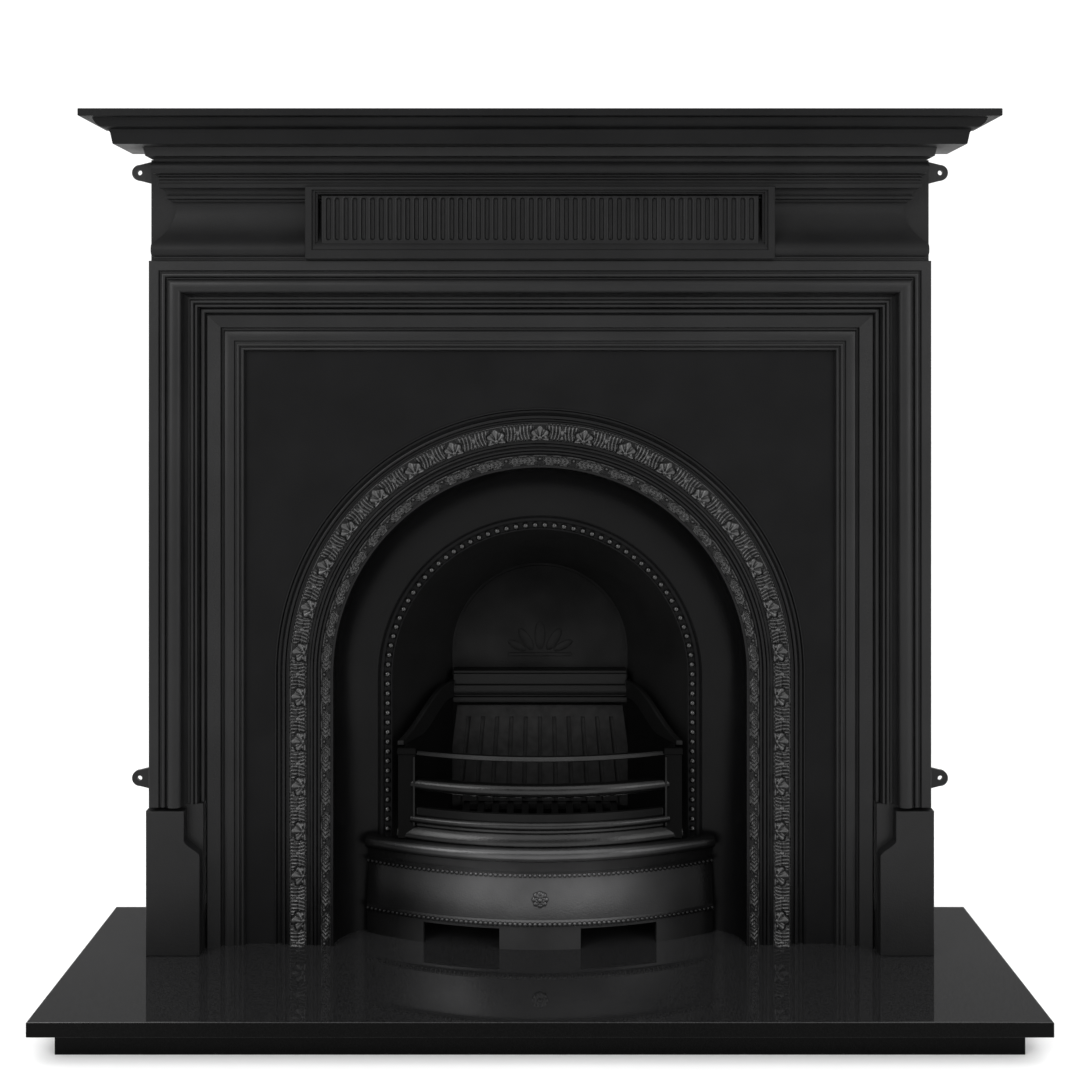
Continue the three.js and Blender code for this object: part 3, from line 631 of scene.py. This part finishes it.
# Points of (up, jut)
FRIEZE_RUN = trace(
    [
        # Fillets at the foot
        (1031.4, 30.5), (1033.6, 30.5), (1034.2, 33.0), (1036.8, 33.0),
        # Roll, running up into the hollow face
        (1037.4, 31.6), (1038.4, 34.2), (1040.0, 36.4), (1042.4, 38.4), (1045.2, 39.5),
        (1048.0, 39.7), (1051.0, 38.9), (1054.4, 36.9), (1058.4, 33.4), (1063.2, 28.6),
        (1069.0, 23.0), (1075.6, 17.8), (1083.0, 13.3), (1092.0, 9.4), (1102.0, 6.9),
        (1112.0, 6.0),
        # Fillets and a bead
        (1117.0, 8.0), (1119.8, 11.0), (1120.6, 12.5), (1122.4, 12.5), (1123.2, 14.5),
        (1129.6, 14.5, 4.0), (1130.8, 14.5),
        # Hollow and fine fillets
        (1131.4, 16.5), (1139.5, 27.2, -1.2, "soft"), (1145.2, 28.0), (1145.8, 25.6),
        (1146.8, 25.6), (1147.2, 27.0), (1149.4, 27.0), (1150.0, 25.4), (1151.0, 25.4),
        (1151.2, 26.6), (1155.4, 26.6, 2.8), (1156.0, 25.0), (1156.8, 25.0), (1157.0, 28.0),
        (1158.6, 28.0),
        # Upper roll, and the hollow under the shelf
        (1159.4, 31.0), (1177.4, 31.5, 8.2), (1178.2, 31.5), (1178.6, 33.4),
        (1183.0, 37.0, -1.0, "soft"), (1184.0, 38.4),
    ],
    7,
)
FRIEZE_FACE = 158.0


def border(parts, outside, hole, out, edge):
    """A flat border; outside and hole are (half width, bottom, top), and the front's edges are eased."""
    back, front = out

    def loop(size, depth, inset):
        half, low, high = size[0] - inset, size[1] + inset, size[2] - inset
        return [(-half, depth, low), (-half, depth, high), (half, depth, high), (half, depth, low)]

    points = loop(outside, back, 0) + loop(outside, front - edge, 0) + loop(outside, front, edge)
    points += loop(hole, front, -edge) + loop(hole, front - edge, 0) + loop(hole, back, 0)
    parts.add(points, ring_faces(4, 6))


def frieze():
    """The moulded frieze, with three borders that step back towards the fluted tablet."""
    parts = Parts()
    parts.block((-583, 583), (WALL, FRIEZE_FACE), (1031.4, 1184), 0.8)
    stack(parts, FRIEZE_RUN, 538.4, FRIEZE_FACE, 138, 575.0)
    for outside, hole, front, edge in (
        ((347.0, 1033.0, 1140.6), (336.5, 1047.0, 1134.6), 192.0, 1.0),
        ((338.0, 1046.0, 1136.0), (332.4, 1050.6, 1131.8), 188.4, 0.8),
        ((334.0, 1048.0, 1134.0), (329.0, 1053.2, 1129.2), 184.6, 0.8),
    ):
        border(parts, outside, hole, (FRIEZE_FACE - 2, front), edge)
    return parts.build("frieze_mouldings", 28)


finished(frieze(), IRON_FRIEZE, "frieze")


def fluted_plate():
    """The tablet's upright flutes with round ends, each inside a thin lip."""
    half, low, high, face = 323.4, 1055.6, 1127.2, 186.2
    pitch, radius, depth, each_side = 13.04, 3.45, 3.6, 24
    first, last = 1061.4 + radius, 1124.0 - radius
    xs = np.linspace(-half, half, 960)
    edges = np.linspace(0, 6.2, 8)
    rounds = [first + np.linspace(-radius, 1, 7), last + np.linspace(-1, radius, 7)]
    middle = [low + 9.0, (low + high) / 2, high - 9.0]
    ups = np.unique(np.concatenate([low + edges, high - edges, middle, *rounds]))

    def height(x, up):
        nearest = np.clip(np.round(x / pitch), -each_side, each_side) * pitch
        beyond = np.maximum(0, first - up) + np.maximum(0, up - last)
        reach = np.hypot(x - nearest, beyond)
        hollow = np.sqrt(np.maximum(0, 1 - (reach / radius) ** 2)) * depth
        lip = 0.5 * np.exp(-(((reach - radius - 0.7) / 0.6) ** 2))
        edge = np.minimum(np.minimum(half - np.abs(x), up - low), high - up)
        return face - hollow + lip - np.clip(0.9 - edge, 0, 0.9)

    return relief("fluted_tablet", lambda x, up, out: (x, out, up), xs, ups, height, FRIEZE_FACE, 45)


finished(fluted_plate(), IRON_FRIEZE, "frieze")

SHELF_FOOT = 1197.0
# Points of (up, jut)
SHELF_LEVELS = trace(
    [
        # Plain course under the shelf
        (1184.3, -1.0), (1184.8, -0.2), (1196.2, 2.2), (1196.9, 2.4),
        # Fascia
        (1197.1, 37.4), (1197.9, 38.2), (1212.5, 40.8), (1216.8, 42.4),
        # Hollow
        (1217.6, 43.2), (1218.6, 45.6), (1229.2, 60.4, 2.6, "soft"), (1231.6, 61.2),
        (1232.2, 61.8),
        # Top board
        (1232.4, 77.0), (1233.0, 78.0), (1242.2, 78.0), (1243.0, 77.2),
    ],
    7,
)


def mantel_shelf():
    parts = Parts()
    stack(parts, SHELF_LEVELS, 581.6, 195, WALL)
    return parts.build("shelf_and_cornice", 28)


# The shelf takes the darker copy, painted shade; the plain course under it keeps the surround's iron
shelf = finished(mantel_shelf(), IRON_SHELF_SHADED, "mantel_shelf")
split_materials(shelf, lambda face: face.center.z < over_floor(SHELF_FOOT), IRON_SURROUND)


def fixing_lug(side, height, name):
    """A flat pierced ear with a round end, widening towards the frame."""
    centre, hole_radius, end_radius = 607.0, 3.8, 12.0
    root, reach, widening = 585.2, 22.0, 5.5
    front = WALL + 6
    around = 24
    outer = []
    hole = []
    for k in range(around):
        turn = 2 * math.pi * k / around
        c, s = math.cos(turn), math.sin(turn)
        hole.append((centre + hole_radius * c, height + hole_radius * s))
        if c >= 0:
            outer.append((centre + end_radius * c, height + end_radius * s))
        else:
            rise = (end_radius - widening * c) * (s / max(abs(s), 0.35))
            outer.append((max(centre + reach * c, root), height + rise))
    points = []
    loops = [(outer, WALL, 0), (outer, front - 0.8, 0), (outer, front, -0.4)]
    loops += [(hole, front, 0), (hole, WALL, 0)]
    for line, out, shift in loops:
        points += [(side * (px + shift), out, up) for px, up in line]
    return make_mesh(name, points, ring_faces(around, 5), 30)


for place, height in (("lower", 250.0), ("upper", 1168.0)):
    for hand, side in (("left", -1), ("right", 1)):
        lug = fixing_lug(side, height, f"lug_{place}_{hand}")
        finished(lug, IRON_SURROUND, f"fixing_lug_{place}_{hand}")


# Insert: front plate, arch mouldings, cove, and the two carved bands


PLATE_HOLE = 400.0


def arch_section():
    """Points of (radius, out): the mouldings round the bands, then the hollow shell of the cove."""
    rim = PLATE_HOLE + 1.5
    front = trace(
        [
            # Rim on the plate
            (rim, 136.8), (401.3, 139.0), (401.0, 139.5), (399.5, 139.5),
            # Hollow and roll
            (397.4, 135.6), (394.0, 134.5), (391.5, 136.5), (390.2, 140.5), (385.2, 140.5, 2.0),
            # Fillet, and the bed of the leaf band
            (384.2, 138.0), (382.0, 138.0), (381.2, 142.0), (380.8, 142.5), (379.0, 142.5),
            (378.0, 140.0), (377.0, 144.0), (354.0, 144.0), (352.0, 141.0),
            # Bead and fillet between the bands
            (348.3, 141.0), (347.4, 143.0), (343.2, 143.0, 1.8), (342.2, 141.0), (341.2, 141.0),
            (340.5, 145.0), (337.8, 145.0), (335.5, 142.0), (332.8, 142.0),
            # Bed of the bud band
            (331.0, 145.0), (322.0, 147.0), (315.5, 147.5), (312.4, 147.2),
        ],
        6,
    )
    lip, depth, thick = 147.0, 62.0, 6.0
    width = OPENING - COVE_RADIUS
    cove = []
    shell = []
    for i in range(17):
        angle = math.pi / 2 * i / 16
        c, s = math.cos(angle), math.sin(angle)
        cove.append((COVE_RADIUS + width * c, lip - depth * s))
        shell.append((COVE_RADIUS + (width + thick) * c, lip - (depth + thick) * s))
    shell = [p for p in shell if p[1] < WALL]
    return front + cove + shell[::-1] + [(shell[0][0] + 1, WALL), (rim, WALL)]


def insert_casting():
    """The arch mouldings, and the flat plate from their rim to the frame."""
    parts = Parts()
    parts.sweep(arch_section(), arch_places(spring_at))
    line = [((-PLATE_HOLE, 0), (-PLATE_HALF, 0))]
    steps = 64
    for i in range(steps + 1):
        turn = math.pi - math.pi * i / steps
        c, s = math.cos(turn), math.sin(turn)
        reach = min(PLATE_HALF / max(abs(c), 1e-6), (PLATE_TOP - ARCH_SPRING) / max(s, 1e-6))
        line.append([(r * c, ARCH_SPRING + r * s) for r in (PLATE_HOLE, reach)])
    line.append(((PLATE_HOLE, 0), (PLATE_HALF, 0)))
    points = []
    for (hole_x, hole_up), (x, up) in line:
        points += [(x, WALL, up), (x, PLATE_FACE, up)]
        points += [(hole_x, PLATE_FACE, hole_up), (hole_x, WALL, hole_up)]
    parts.add(points, sweep_faces(4, len(line)))
    return parts.build("insert_front", 28)


insert = finished(insert_casting(), IRON_ARCH, "insert_plate")


def arch_radius(face):
    """How far a face is from the middle line of the arch, in metres."""
    return math.hypot(face.center.x, max(face.center.z - over_floor(ARCH_SPRING), 0))


# Where the plate's iron begins, and where the cove's ends
PLATE_FROM, COVE_TO = 0.4012, 0.3115
split_materials(insert, lambda face: arch_radius(face) > PLATE_FROM, IRON_PLATE)
split_materials(insert, lambda face: arch_radius(face) < COVE_TO, IRON_COVE)


def dome(x, t, half_x, half_t):
    """A round or oval boss, 1 at its crown and 0 from its edge on."""
    return np.sqrt(np.maximum(0, 1 - (x / half_x) ** 2 - (t / half_t) ** 2))


def leaf_height(unit):
    """The main band: fans opening outwards, joined by pairs of ribbed leaves."""

    def height(x, run):
        t = (run / unit - np.round(run / unit)) * unit
        far = unit / 2
        along = np.abs(t)
        turn = np.arctan2(t, x + 9.6)
        reach = np.hypot(x + 9.6, t)
        petal = 0.5 + 0.5 * np.cos(turn * 7.2)
        outline = 20.6 - 2.4 * (1 - petal) - 5.4 * np.abs(turn) / 1.57
        fan = (2.4 + 4.0 * petal**0.6) * np.clip((outline - reach) / 1.6, 0, 1)
        core = 6.6 * dome(x + 8.0, t, 3.4, 4.0)
        eye = 5.4 * dome(x + 7.6, along - 8.6, 2.8, 2.8)
        bends = along - 0.10 * x + 0.014 * x * x
        pitch = 5.3
        rib = 0.5 + 0.5 * np.cos(2 * np.pi * (bends - far + 1.5 + pitch / 2) / pitch)
        width = 10.6 + 1.8 * rib
        inside = np.clip((width - np.abs(x)) / 1.4, 0, 1)
        beyond = np.clip((reach - outline - 0.6) / 1.2, 0, 1) * np.clip((along - 8.0) / 1.2, 0, 1)
        leaf = (2.4 + 3.8 * rib**0.7 * (1 - 0.3 * (x / 13) ** 2)) * inside * beyond
        vein = -1.4 * np.exp(-((x / 1.1) ** 2)) * beyond * (along < far - 4.5)
        husk = 6.6 * dome(x, along - far, 5.4, 4.2)
        raised = np.maximum.reduce([fan * (reach > 1), core, eye, leaf + vein, husk])
        bed = 143.6 - 0.05 * x
        return bed + raised

    return height


def bud_height(unit):
    """The inner band: small pearls near the outer edge, between long open leaves with veins."""

    def height(x, run):
        t = (run / unit - np.round(run / unit)) * unit
        along = np.abs(t)
        far = unit / 2
        pearl = 4.6 * dome(x - 2.4, t, 2.9, 3.1)
        share = np.clip((along - 3.6) / (far - 3.6), 0, 1)
        width = 6.2 * np.sqrt(np.clip(np.sin(np.pi * (0.06 + 0.86 * share)), 0, 1))
        leaf_edge = 2.9 * np.exp(-(((np.abs(x) - width) / 0.9) ** 2)) * (along > 3.4)
        veins = 0.5 + 0.5 * np.cos(2 * np.pi * (along * 0.8 - np.abs(x) * 0.9) / 5.2)
        midrib = 1.5 * np.exp(-((x / 0.9) ** 2))
        inside = np.clip((width - np.abs(x)) / 1.2, 0, 1) * (along > 3.8)
        leaf = (0.9 + 1.8 * veins + midrib) * inside
        tip = 3.6 * dome(x, along - far, 2.6, 3.4)
        rim = 3.2 * np.exp(-(((x + 6.9) / 0.8) ** 2)) + 1.4 * np.exp(-(((x - 7.0) / 0.7) ** 2))
        raised = np.maximum.reduce([pearl, leaf_edge, leaf, tip, rim])
        bed = 146.0 - 0.12 * x
        return bed + raised

    return height


def carved_band(name, outer, inner, pitch, make_height, floor, fine_run, fine_across):
    """A band of relief along the arch, its pattern centred on the crown."""
    middle = (outer + inner) / 2
    half = (outer - inner) / 2
    length = 2 * ARCH_SPRING + math.pi * middle
    crown = length / 2
    unit = math.pi * middle / round(math.pi * middle / pitch)
    height = make_height(unit)
    runs = np.linspace(0, length, round(length / fine_run))
    across = np.linspace(-half, half, round(2 * half / fine_across) + 1)

    def lay(run, x, out):
        px, up = along_arch(middle, ARCH_SPRING, run, x)
        return (px, out, up)

    def top(run, x):
        edge = np.clip((half - np.abs(x)) / 0.8, 0, 1)
        full = height(x, run - crown)
        return floor + 4 + (full - floor - 4) * edge

    return relief(name, lay, runs, across, top, floor, 60)


leaves = carved_band("leaf_band", LEAF_OUTER, LEAF_INNER, 66.0, leaf_height, 139.0, 0.9, 0.8)
finished(leaves, IRON_LEAVES, "insert_plate")
buds = carved_band("bud_band", BUD_OUTER, BUD_INNER, 49.5, bud_height, 141.0, 0.9, 0.7)
finished(buds, IRON_BUDS, "insert_plate")


def inner_arch():
    """The flat ring at the back of the cove, with a fillet at either edge."""
    section = trace(
        [
            (252.8, 79.0), (252.8, 80.4), (249.4, 80.4), (249.4, 82.2),
            (242.6, 83.6, 2.0, "soft"), (242.0, 82.0), (232.4, 82.0), (232.0, 83.2),
            (229.6, 83.2, 0.7), (229.0, 82.4), (229.0, 79.0),
        ],
        6,
    )
    return swept("inner_arch_ring", section, arch_places(lambda r: COVE_SPRING), 30)


def inner_arch_beads():
    parts = Parts()
    radius, pitch, lowest = 237.0, 15.0, 153.0
    out, size = 84.2, 4.9
    length = 2 * COVE_SPRING + math.pi * radius
    count = int((length - 2 * lowest) // pitch)
    for i in range(count + 1):
        run = length / 2 + (i - count / 2) * pitch
        x, up = along_arch(radius, COVE_SPRING, run)
        parts.ball((x, out, up), size, around=12, rings=8)
    return parts.build("inner_arch_beads", 30)


finished(inner_arch(), IRON_PLATE, "inner_arch")
finished(inner_arch_beads(), IRON_BEADS, "inner_arch")


# Firebox


def firebox():
    """The hood and side walls, narrowing from the ring to the fireback."""
    front, rear = (229.5, 78.7), (147.0, -84.0)
    wall = 6.0

    def spring(radius):
        share = min(max((radius - rear[0]) / (front[0] - rear[0]), 0), 1)
        return HOOD_SPRING + (COVE_SPRING - HOOD_SPRING) * share

    section = [(front[0] + wall, front[1]), front, rear, (rear[0] + wall, rear[1])]
    return swept("firebox_hood", section, arch_places(spring), 30)


finished(firebox(), IRON_SOOTED, "firebox")


def flat_leaf(parts, root, lean, length, width, face):
    """A low oval leaf that leans sideways from its root by an angle in degrees."""
    turn = math.radians(lean)
    around = 16
    points = []
    for rise, share in ((-1.0, 1.0), (1.4, 0.86), (2.6, 0.5), (3.0, 0.12)):
        for k in range(around):
            angle = 2 * math.pi * k / around
            a = share * width / 2 * math.sin(angle)
            b = length / 2 + share * length / 2 * math.cos(angle)
            x = root[0] + a * math.cos(turn) + b * math.sin(turn)
            up = root[1] + b * math.cos(turn) - a * math.sin(turn)
            points.append((x, face + rise, up))
    parts.add(points, sweep_faces(around, 4))


def fireback():
    """The back plate, with a thin line round its arch and a cluster of five leaves."""
    parts = Parts()
    face, thick = -84.3, 7.0
    half, shoulder, half_top, top = 165.0, 525.0, 105.0, 585.0
    outline = [(-half, 0), (half, 0), (half, shoulder)]
    outline += [(half_top, top), (-half_top, top), (-half, shoulder)]
    parts.sweep(outline, [lambda x, up: (x, face - thick, up), lambda x, up: (x, face, up)])
    line = [(139.0, face - 1), (142.5, face - 1), (142.5, face + 1.6), (139.0, face + 1.6)]
    places = []
    for k in range(33):
        turn = math.pi * k / 32
        places.append(
            lambda r, out, turn=turn: (r * math.cos(turn), out, HOOD_SPRING + r * math.sin(turn))
        )
    parts.sweep(line, places)
    base = 396.0
    for lean, length, width in ((-62, 38, 14), (-32, 46, 17), (0, 52, 19), (32, 46, 17), (62, 38, 14)):
        flat_leaf(parts, (lean * 0.35, base), lean, length, width, face)
    parts.block((-52, 52), (face - 1, face + 3), (base - 8, base - 3), 0.8)
    return parts.build("fireback_plate", 35)


finished(fireback(), IRON_FIREBACK, "fireback")


def flue_collar():
    """A square neck for the flue, standing on the back of the hood."""
    half, front, rear, wall, top = 100.0, -30.0, -84.0, 6.0, 640.0
    parts = Parts()
    for out in ((front - wall, front), (rear, rear + wall)):
        parts.block((-half, half), out, (576, top), 0.8)
    for side in (-1, 1):
        x = sorted((side * half, side * (half - wall)))
        parts.block(x, (rear + wall, front - wall), (556, top), 0.8)
    return parts.build("flue_mouth", 30)


finished(flue_collar(), IRON_SOOTED, "flue_collar")


def rail_place(share):
    """How far from the middle and how far out an arm runs, with its underside and its top."""
    underside = 329 - 35.5 * smoothstep(share, 0.1, 0.68)
    top = 355.5 - 57 * smoothstep(share, 0.12, 1.1)
    return 145.5 + 68.5 * share, -45 + 156 * share, underside, top


# How many steps an arm and the cheek under it are made of
ARM_STEPS = 24


def hob_rail():
    """The lintel over the brick, and the two arms that curve down to the basket."""
    parts = Parts()
    lintel_half, rear, low, high = 143.0, -83.5, 317.0, 369.0
    section = [
        (rear, low), (-51, low), (-48.5, low + 2), (-48, low + 6), (-49, low + 9.5),
        (-52, low + 11), (-52, low + 13), (-45, low + 14.5), (-43, low + 18), (-42.5, low + 25),
        (-45, low + 30), (-51, low + 31.5), (-52, low + 33), (-54, high - 5), (-57, high - 3.5),
        (-57, high - 0.6), (-57.6, high), (rear, high),
    ]
    ends = [lambda out, up: (-lintel_half, out, up), lambda out, up: (lintel_half, out, up)]
    parts.sweep(section, ends)
    half = 4.5
    # The arm's section: from its middle line, and as a share of its height
    arm = [(-half, 0), (half, 0), (half, 0.9), (half - 0.8, 0.97)]
    arm += [(half - 2, 1), (2 - half, 1), (-half, 0.94)]
    for side in (-1, 1):
        places = []
        for i in range(ARM_STEPS + 1):
            x, out, foot, top = rail_place(i / ARM_STEPS)
            places.append(
                lambda a, share, x=x, out=out, foot=foot, rise=top - foot, side=side: (
                    (side * (x + a), out, foot + rise * share)
                )
            )
        parts.sweep(arm, places)
        x = sorted((side * 150, side * 141))
        parts.block(x, (-60, -44), (330, 354.5), 0.8)
    return parts.build("hob_and_arms", 32)


finished(hob_rail(), IRON_HOB, "hob_rail")


def side_cheek(side):
    """The upright plate under an arm of the hob."""
    rear, front, gap, half = 0.035, 0.88, 1.2, 3.5
    places = []
    for i in range(ARM_STEPS + 1):
        x, out, underside, _ = rail_place(rear + (front - rear) * i / ARM_STEPS)
        top = underside - gap
        places.append(
            lambda a, up, x=x, out=out, top=top: (side * (x + a), out, top if up else FIRE_FLOOR)
        )
    name = "cheek_left" if side < 0 else "cheek_right"
    return swept(name, [(-half, 0), (half, 0), (half, 1), (-half, 1)], places)


finished(side_cheek(-1), IRON_BLACK, "side_cheek_left")
finished(side_cheek(1), IRON_BLACK, "side_cheek_right")


def firebrick():
    """A leaning brick, fluted below a plain band."""
    low_half, top_half, rear_half = 157.0, 137.0, 140.0
    low, high, face, lean, depth, band = FIRE_FLOOR, 311.0, -60.0, 18.0, 23.5, 18.0
    count, pitch, width, hollow = 11, 26.6, 8.0, 4.0
    grooves = []
    for i in range(count):
        middle = (i - (count - 1) / 2) * pitch
        for k in range(9):
            turn = math.pi * k / 8
            grooves.append((middle - width / 2 * math.cos(turn), -hollow * math.sin(turn) ** 0.7))

    def outline(middle):
        return [(-rear_half, -depth), (-low_half, 0)] + middle + [(low_half, 0), (rear_half, -depth)]

    def level(up):
        share = (up - low) / (high - low)
        narrowing = 1 + (top_half / low_half - 1) * share
        return lambda x, forward: (
            x * narrowing,
            face + forward + (lean * (1 - share) if forward > -depth else 0),
            up,
        )

    parts = Parts()
    parts.sweep(outline(grooves), [level(low), level(high - band)])
    parts.sweep(outline([]), [level(high - band - 0.5), level(high)])
    return parts.build("fluted_firebrick", 35)


finished(firebrick(), BRICK, "firebrick")


def bottom_grate():
    """Bars that carry the fire, joined by a bar at the back and one at the front."""
    bars_each_side, pitch, bar = 5, 24.0, 11.0
    rear, front, up = -36.0, 104.0, (FIRE_FLOOR, FIRE_FLOOR + 10)
    half = bars_each_side * pitch + bar / 2
    parts = Parts()
    for i in range(-bars_each_side, bars_each_side + 1):
        parts.block((i * pitch - bar / 2, i * pitch + bar / 2), (rear, front), up, 0.8)
    for out in ((rear, rear + bar), (front - bar, front)):
        parts.block((-half, half), out, up, 0.8)
    return parts.build("grate_bars", 32)


finished(bottom_grate(), IRON_SOOTED, "bottom_grate")


def on_bow(radius, front, turn, ahead):
    """The (x, out) of a point ahead of a bow whose middle stands at front."""
    reach = radius + ahead
    return reach * math.sin(turn), front - radius + reach * math.cos(turn)


def bow_places(radius, front, start, end, segments):
    """Places along a bow for a section of (ahead of the bow, up)."""
    places = []
    for i in range(segments + 1):
        turn = start + (end - start) * i / segments
        places.append(lambda ahead, up, turn=turn: (*on_bow(radius, front, turn, ahead), up))
    return places


def grate_front():
    """A flat bar, a round bar, the base in two steps, and a capped post at either end."""
    parts = Parts()
    radius, front = 525.0, 155.0
    bar_end = math.asin(193 / radius) * 1.02
    base_end = math.asin(217 / radius)
    bars = bow_places(radius, front, -bar_end, bar_end, 40)
    base = bow_places(radius, front, -base_end, base_end, 40)
    top_bar = [(-10, 279.5), (-1, 279.5), (0, 281), (-0.5, 285), (-2, 286.5), (-10, 286.5)]
    low_bar = [
        (-9, 176), (0, 176), (3.5, 178), (4.6, 180.2), (5, 182.8), (4.6, 185.2), (3, 187.5),
        (-1, 189.5), (-1, 199), (-2, 200), (-9, 200),
    ]
    fascia = [
        (-14, 153), (4, 153), (5.6, 154.4), (6, 156), (5, 161), (1, 168), (-3, 172),
        (-3, 176.5), (-14, 176.5),
    ]
    round_bar = []
    bar_radius, bar_behind, bar_height = 10.5, 7.5, 234.5
    for k in range(24):
        turn = 2 * math.pi * k / 24
        ahead = bar_radius * math.cos(turn) - bar_behind
        round_bar.append((ahead, bar_height + bar_radius * math.sin(turn)))
    for section, places in ((top_bar, bars), (round_bar, bars), (low_bar, bars), (fascia, base)):
        parts.sweep(section, places)
    for side in (-1, 1):
        for near, far, out, up, soft in (
            (191, 217, (112, 119), (152.5, 282), 1.0),
            (191, 194, (112, 122), (172.5, 278), 0.8),
            (190, 218, (112, 122), (281, 291), 1.2),
        ):
            parts.block(sorted((side * near, side * far)), out, up, soft)
    return parts.build("basket_front", 32)


def on_post(face):
    """On a post, beyond the ends of the bars and above the base."""
    return abs(face.center.x) > 0.1942 and face.center.z > over_floor(177)


def on_ledge(face):
    """On the upright step over the lower bar."""
    return abs(face.center.x) < 0.19 and over_floor(189) < face.center.z < over_floor(200.5)


basket = finished(grate_front(), IRON_BARS, "grate_front")
split_materials(basket, on_post, IRON_BLACK)
split_materials(basket, on_ledge, IRON_DULL)


def rosette(parts, front, up):
    """Two rings of eight petals round a button."""
    petals = 8
    for ring, size, reach in ((0, 4.6, 8.4), (1, 3.0, 5.0)):
        for k in range(petals):
            turn = 2 * math.pi * (k + 0.5 * ring) / petals
            centre = (reach * math.cos(turn), front - 0.4 + ring, up + reach * math.sin(turn))
            parts.ball(centre, size, (1, 0.6, 1))
    parts.ball((0, front + 1.2, up), 4.2, (1, 0.9, 1), 12, 8)


def ashpit_cover():
    """The bowed cover, its two vents, two lines of small beads and a rosette."""
    parts = Parts()
    radius, front, half_width = 589.0, 160.0, 267.0
    end = math.asin(half_width / radius)
    upper = [
        # Foot, and the lower line of beads
        (-6, 31), (0, 31), (0, 35), (3, 37), (3, 42), (0, 44.5),
        # Face, and the upper line of beads
        (-3, 104.5), (-4, 108), (1, 109.5), (1, 114), (-4, 116),
        # Plain course and the rolled top
        (-1.5, 130.5), (3, 132), (5.4, 133.6), (6.8, 136), (7.4, 139), (7, 142), (6, 145.4),
        (4, 148), (1.8, 150), (-1, 151), (-9, 151), (-9, 104.5),
    ]
    parts.sweep(upper, bow_places(radius, front, -end, end, 64))
    lower = [(-6, 0), (0, 0), (0, 31.2), (-6, 31.2)]
    vent_start, vent_end = math.asin(61 / radius), math.asin(177 / radius)
    for start, stop in ((-end, -vent_end), (-vent_start, vent_start), (vent_end, end)):
        parts.sweep(lower, bow_places(radius, front, start, stop, 12))
    size, pitch = 3.3, 7.4
    count = int(2 * end * radius / pitch)
    for up, ahead in ((111.8, 1.8), (39.6, 3.4)):
        for i in range(count + 1):
            turn = (i - count / 2) * pitch / radius
            parts.ball((*on_bow(radius, front, turn, ahead), up), size)
    rosette(parts, front, 75)
    return parts.build("ashpit_front", 32)


finished(ashpit_cover(), IRON_COVER, "ashpit_cover")


# Stage: floor, light and camera


def pale_floor():
    data = bpy.data.meshes.new("floor")
    reach = 14.0
    corners = [(-reach, -reach, 0), (reach, -reach, 0), (reach, reach, 0), (-reach, reach, 0)]
    data.from_pydata(corners, [], [(0, 1, 2, 3)])
    floor = bpy.data.objects.new("floor", data)
    bpy.context.scene.collection.objects.link(floor)
    material, tree, shader, place = node_material("pale_floor")
    colour = ramp(tree, noise(tree, place, 2.0), (0.93, 0.93, 0.93), (0.95, 0.95, 0.95))
    tree.links.new(colour, shader.inputs["Base Color"])
    shader.inputs["Roughness"].default_value = 1.0
    shader.inputs["Specular IOR Level"].default_value = 0.0
    floor.data.materials.append(material)


def studio_sky():
    """Pale below and all round, a darker band higher up and white overhead, for gloss to mirror."""
    world = bpy.data.worlds.new("studio")
    bpy.context.scene.world = world
    world.use_nodes = True
    tree = world.node_tree
    direction = add_node(tree, "TexCoord")
    parts = add_node(tree, "SeparateXYZ")
    tree.links.new(direction.outputs["Generated"], parts.inputs["Vector"])
    height = add_node(tree, "MapRange", From_Min=-1)
    tree.links.new(parts.outputs["Z"], height.inputs["Value"])
    sky = add_node(tree, "ValToRGB")
    stops = sky.color_ramp.elements
    stops[0].position = 0.0
    stops[0].color = (0.72, 0.72, 0.72, 1)
    stops[1].position = 1.0
    stops[1].color = (1, 1, 1, 1)
    for position, grey in ((0.638, 0.72), (0.668, 0.2), (0.77, 0.2), (0.83, 1.0)):
        stop = stops.new(position)
        stop.color = (grey, grey, grey, 1)
    tree.links.new(height.outputs["Result"], sky.inputs["Fac"])
    tree.links.new(sky.outputs["Color"], tree.nodes["Background"].inputs["Color"])
    tree.nodes["Background"].inputs["Strength"].default_value = 1.6


def soft_lamps():
    target = np.array((0, 0, 0.6))
    for name, spot, power in (("key", (-2.6, -3.0, 2.6), 90), ("fill", (2.8, -2.8, 1.8), 60)):
        light = bpy.data.lights.new(name, "AREA")
        light.size = 2.0
        light.energy = power
        lamp = bpy.data.objects.new(name, light)
        bpy.context.scene.collection.objects.link(lamp)
        lamp.location = spot
        lamp.rotation_mode = "QUATERNION"
        lamp.rotation_quaternion = Vector(target - np.array(spot)).to_track_quat("-Z", "Y")


def level_camera():
    """A level camera in front of the middle, its picture shifted down to take in the hearth."""
    eye_out, eye_height = 2173.8, 0.9377
    data = bpy.data.cameras.new("camera")
    data.lens = 44.8
    data.sensor_width = 36.0
    data.shift_y = -0.164
    data.clip_start = 0.05
    camera = bpy.data.objects.new("camera", data)
    bpy.context.scene.collection.objects.link(camera)
    camera.location = (0, (BACK_EDGE - eye_out) / 1000, eye_height)
    camera.rotation_euler = (math.radians(90), 0, 0)
    bpy.context.scene.camera = camera
    bpy.context.scene.view_settings.view_transform = "Standard"


pale_floor()
studio_sky()
soft_lamps()
level_camera()
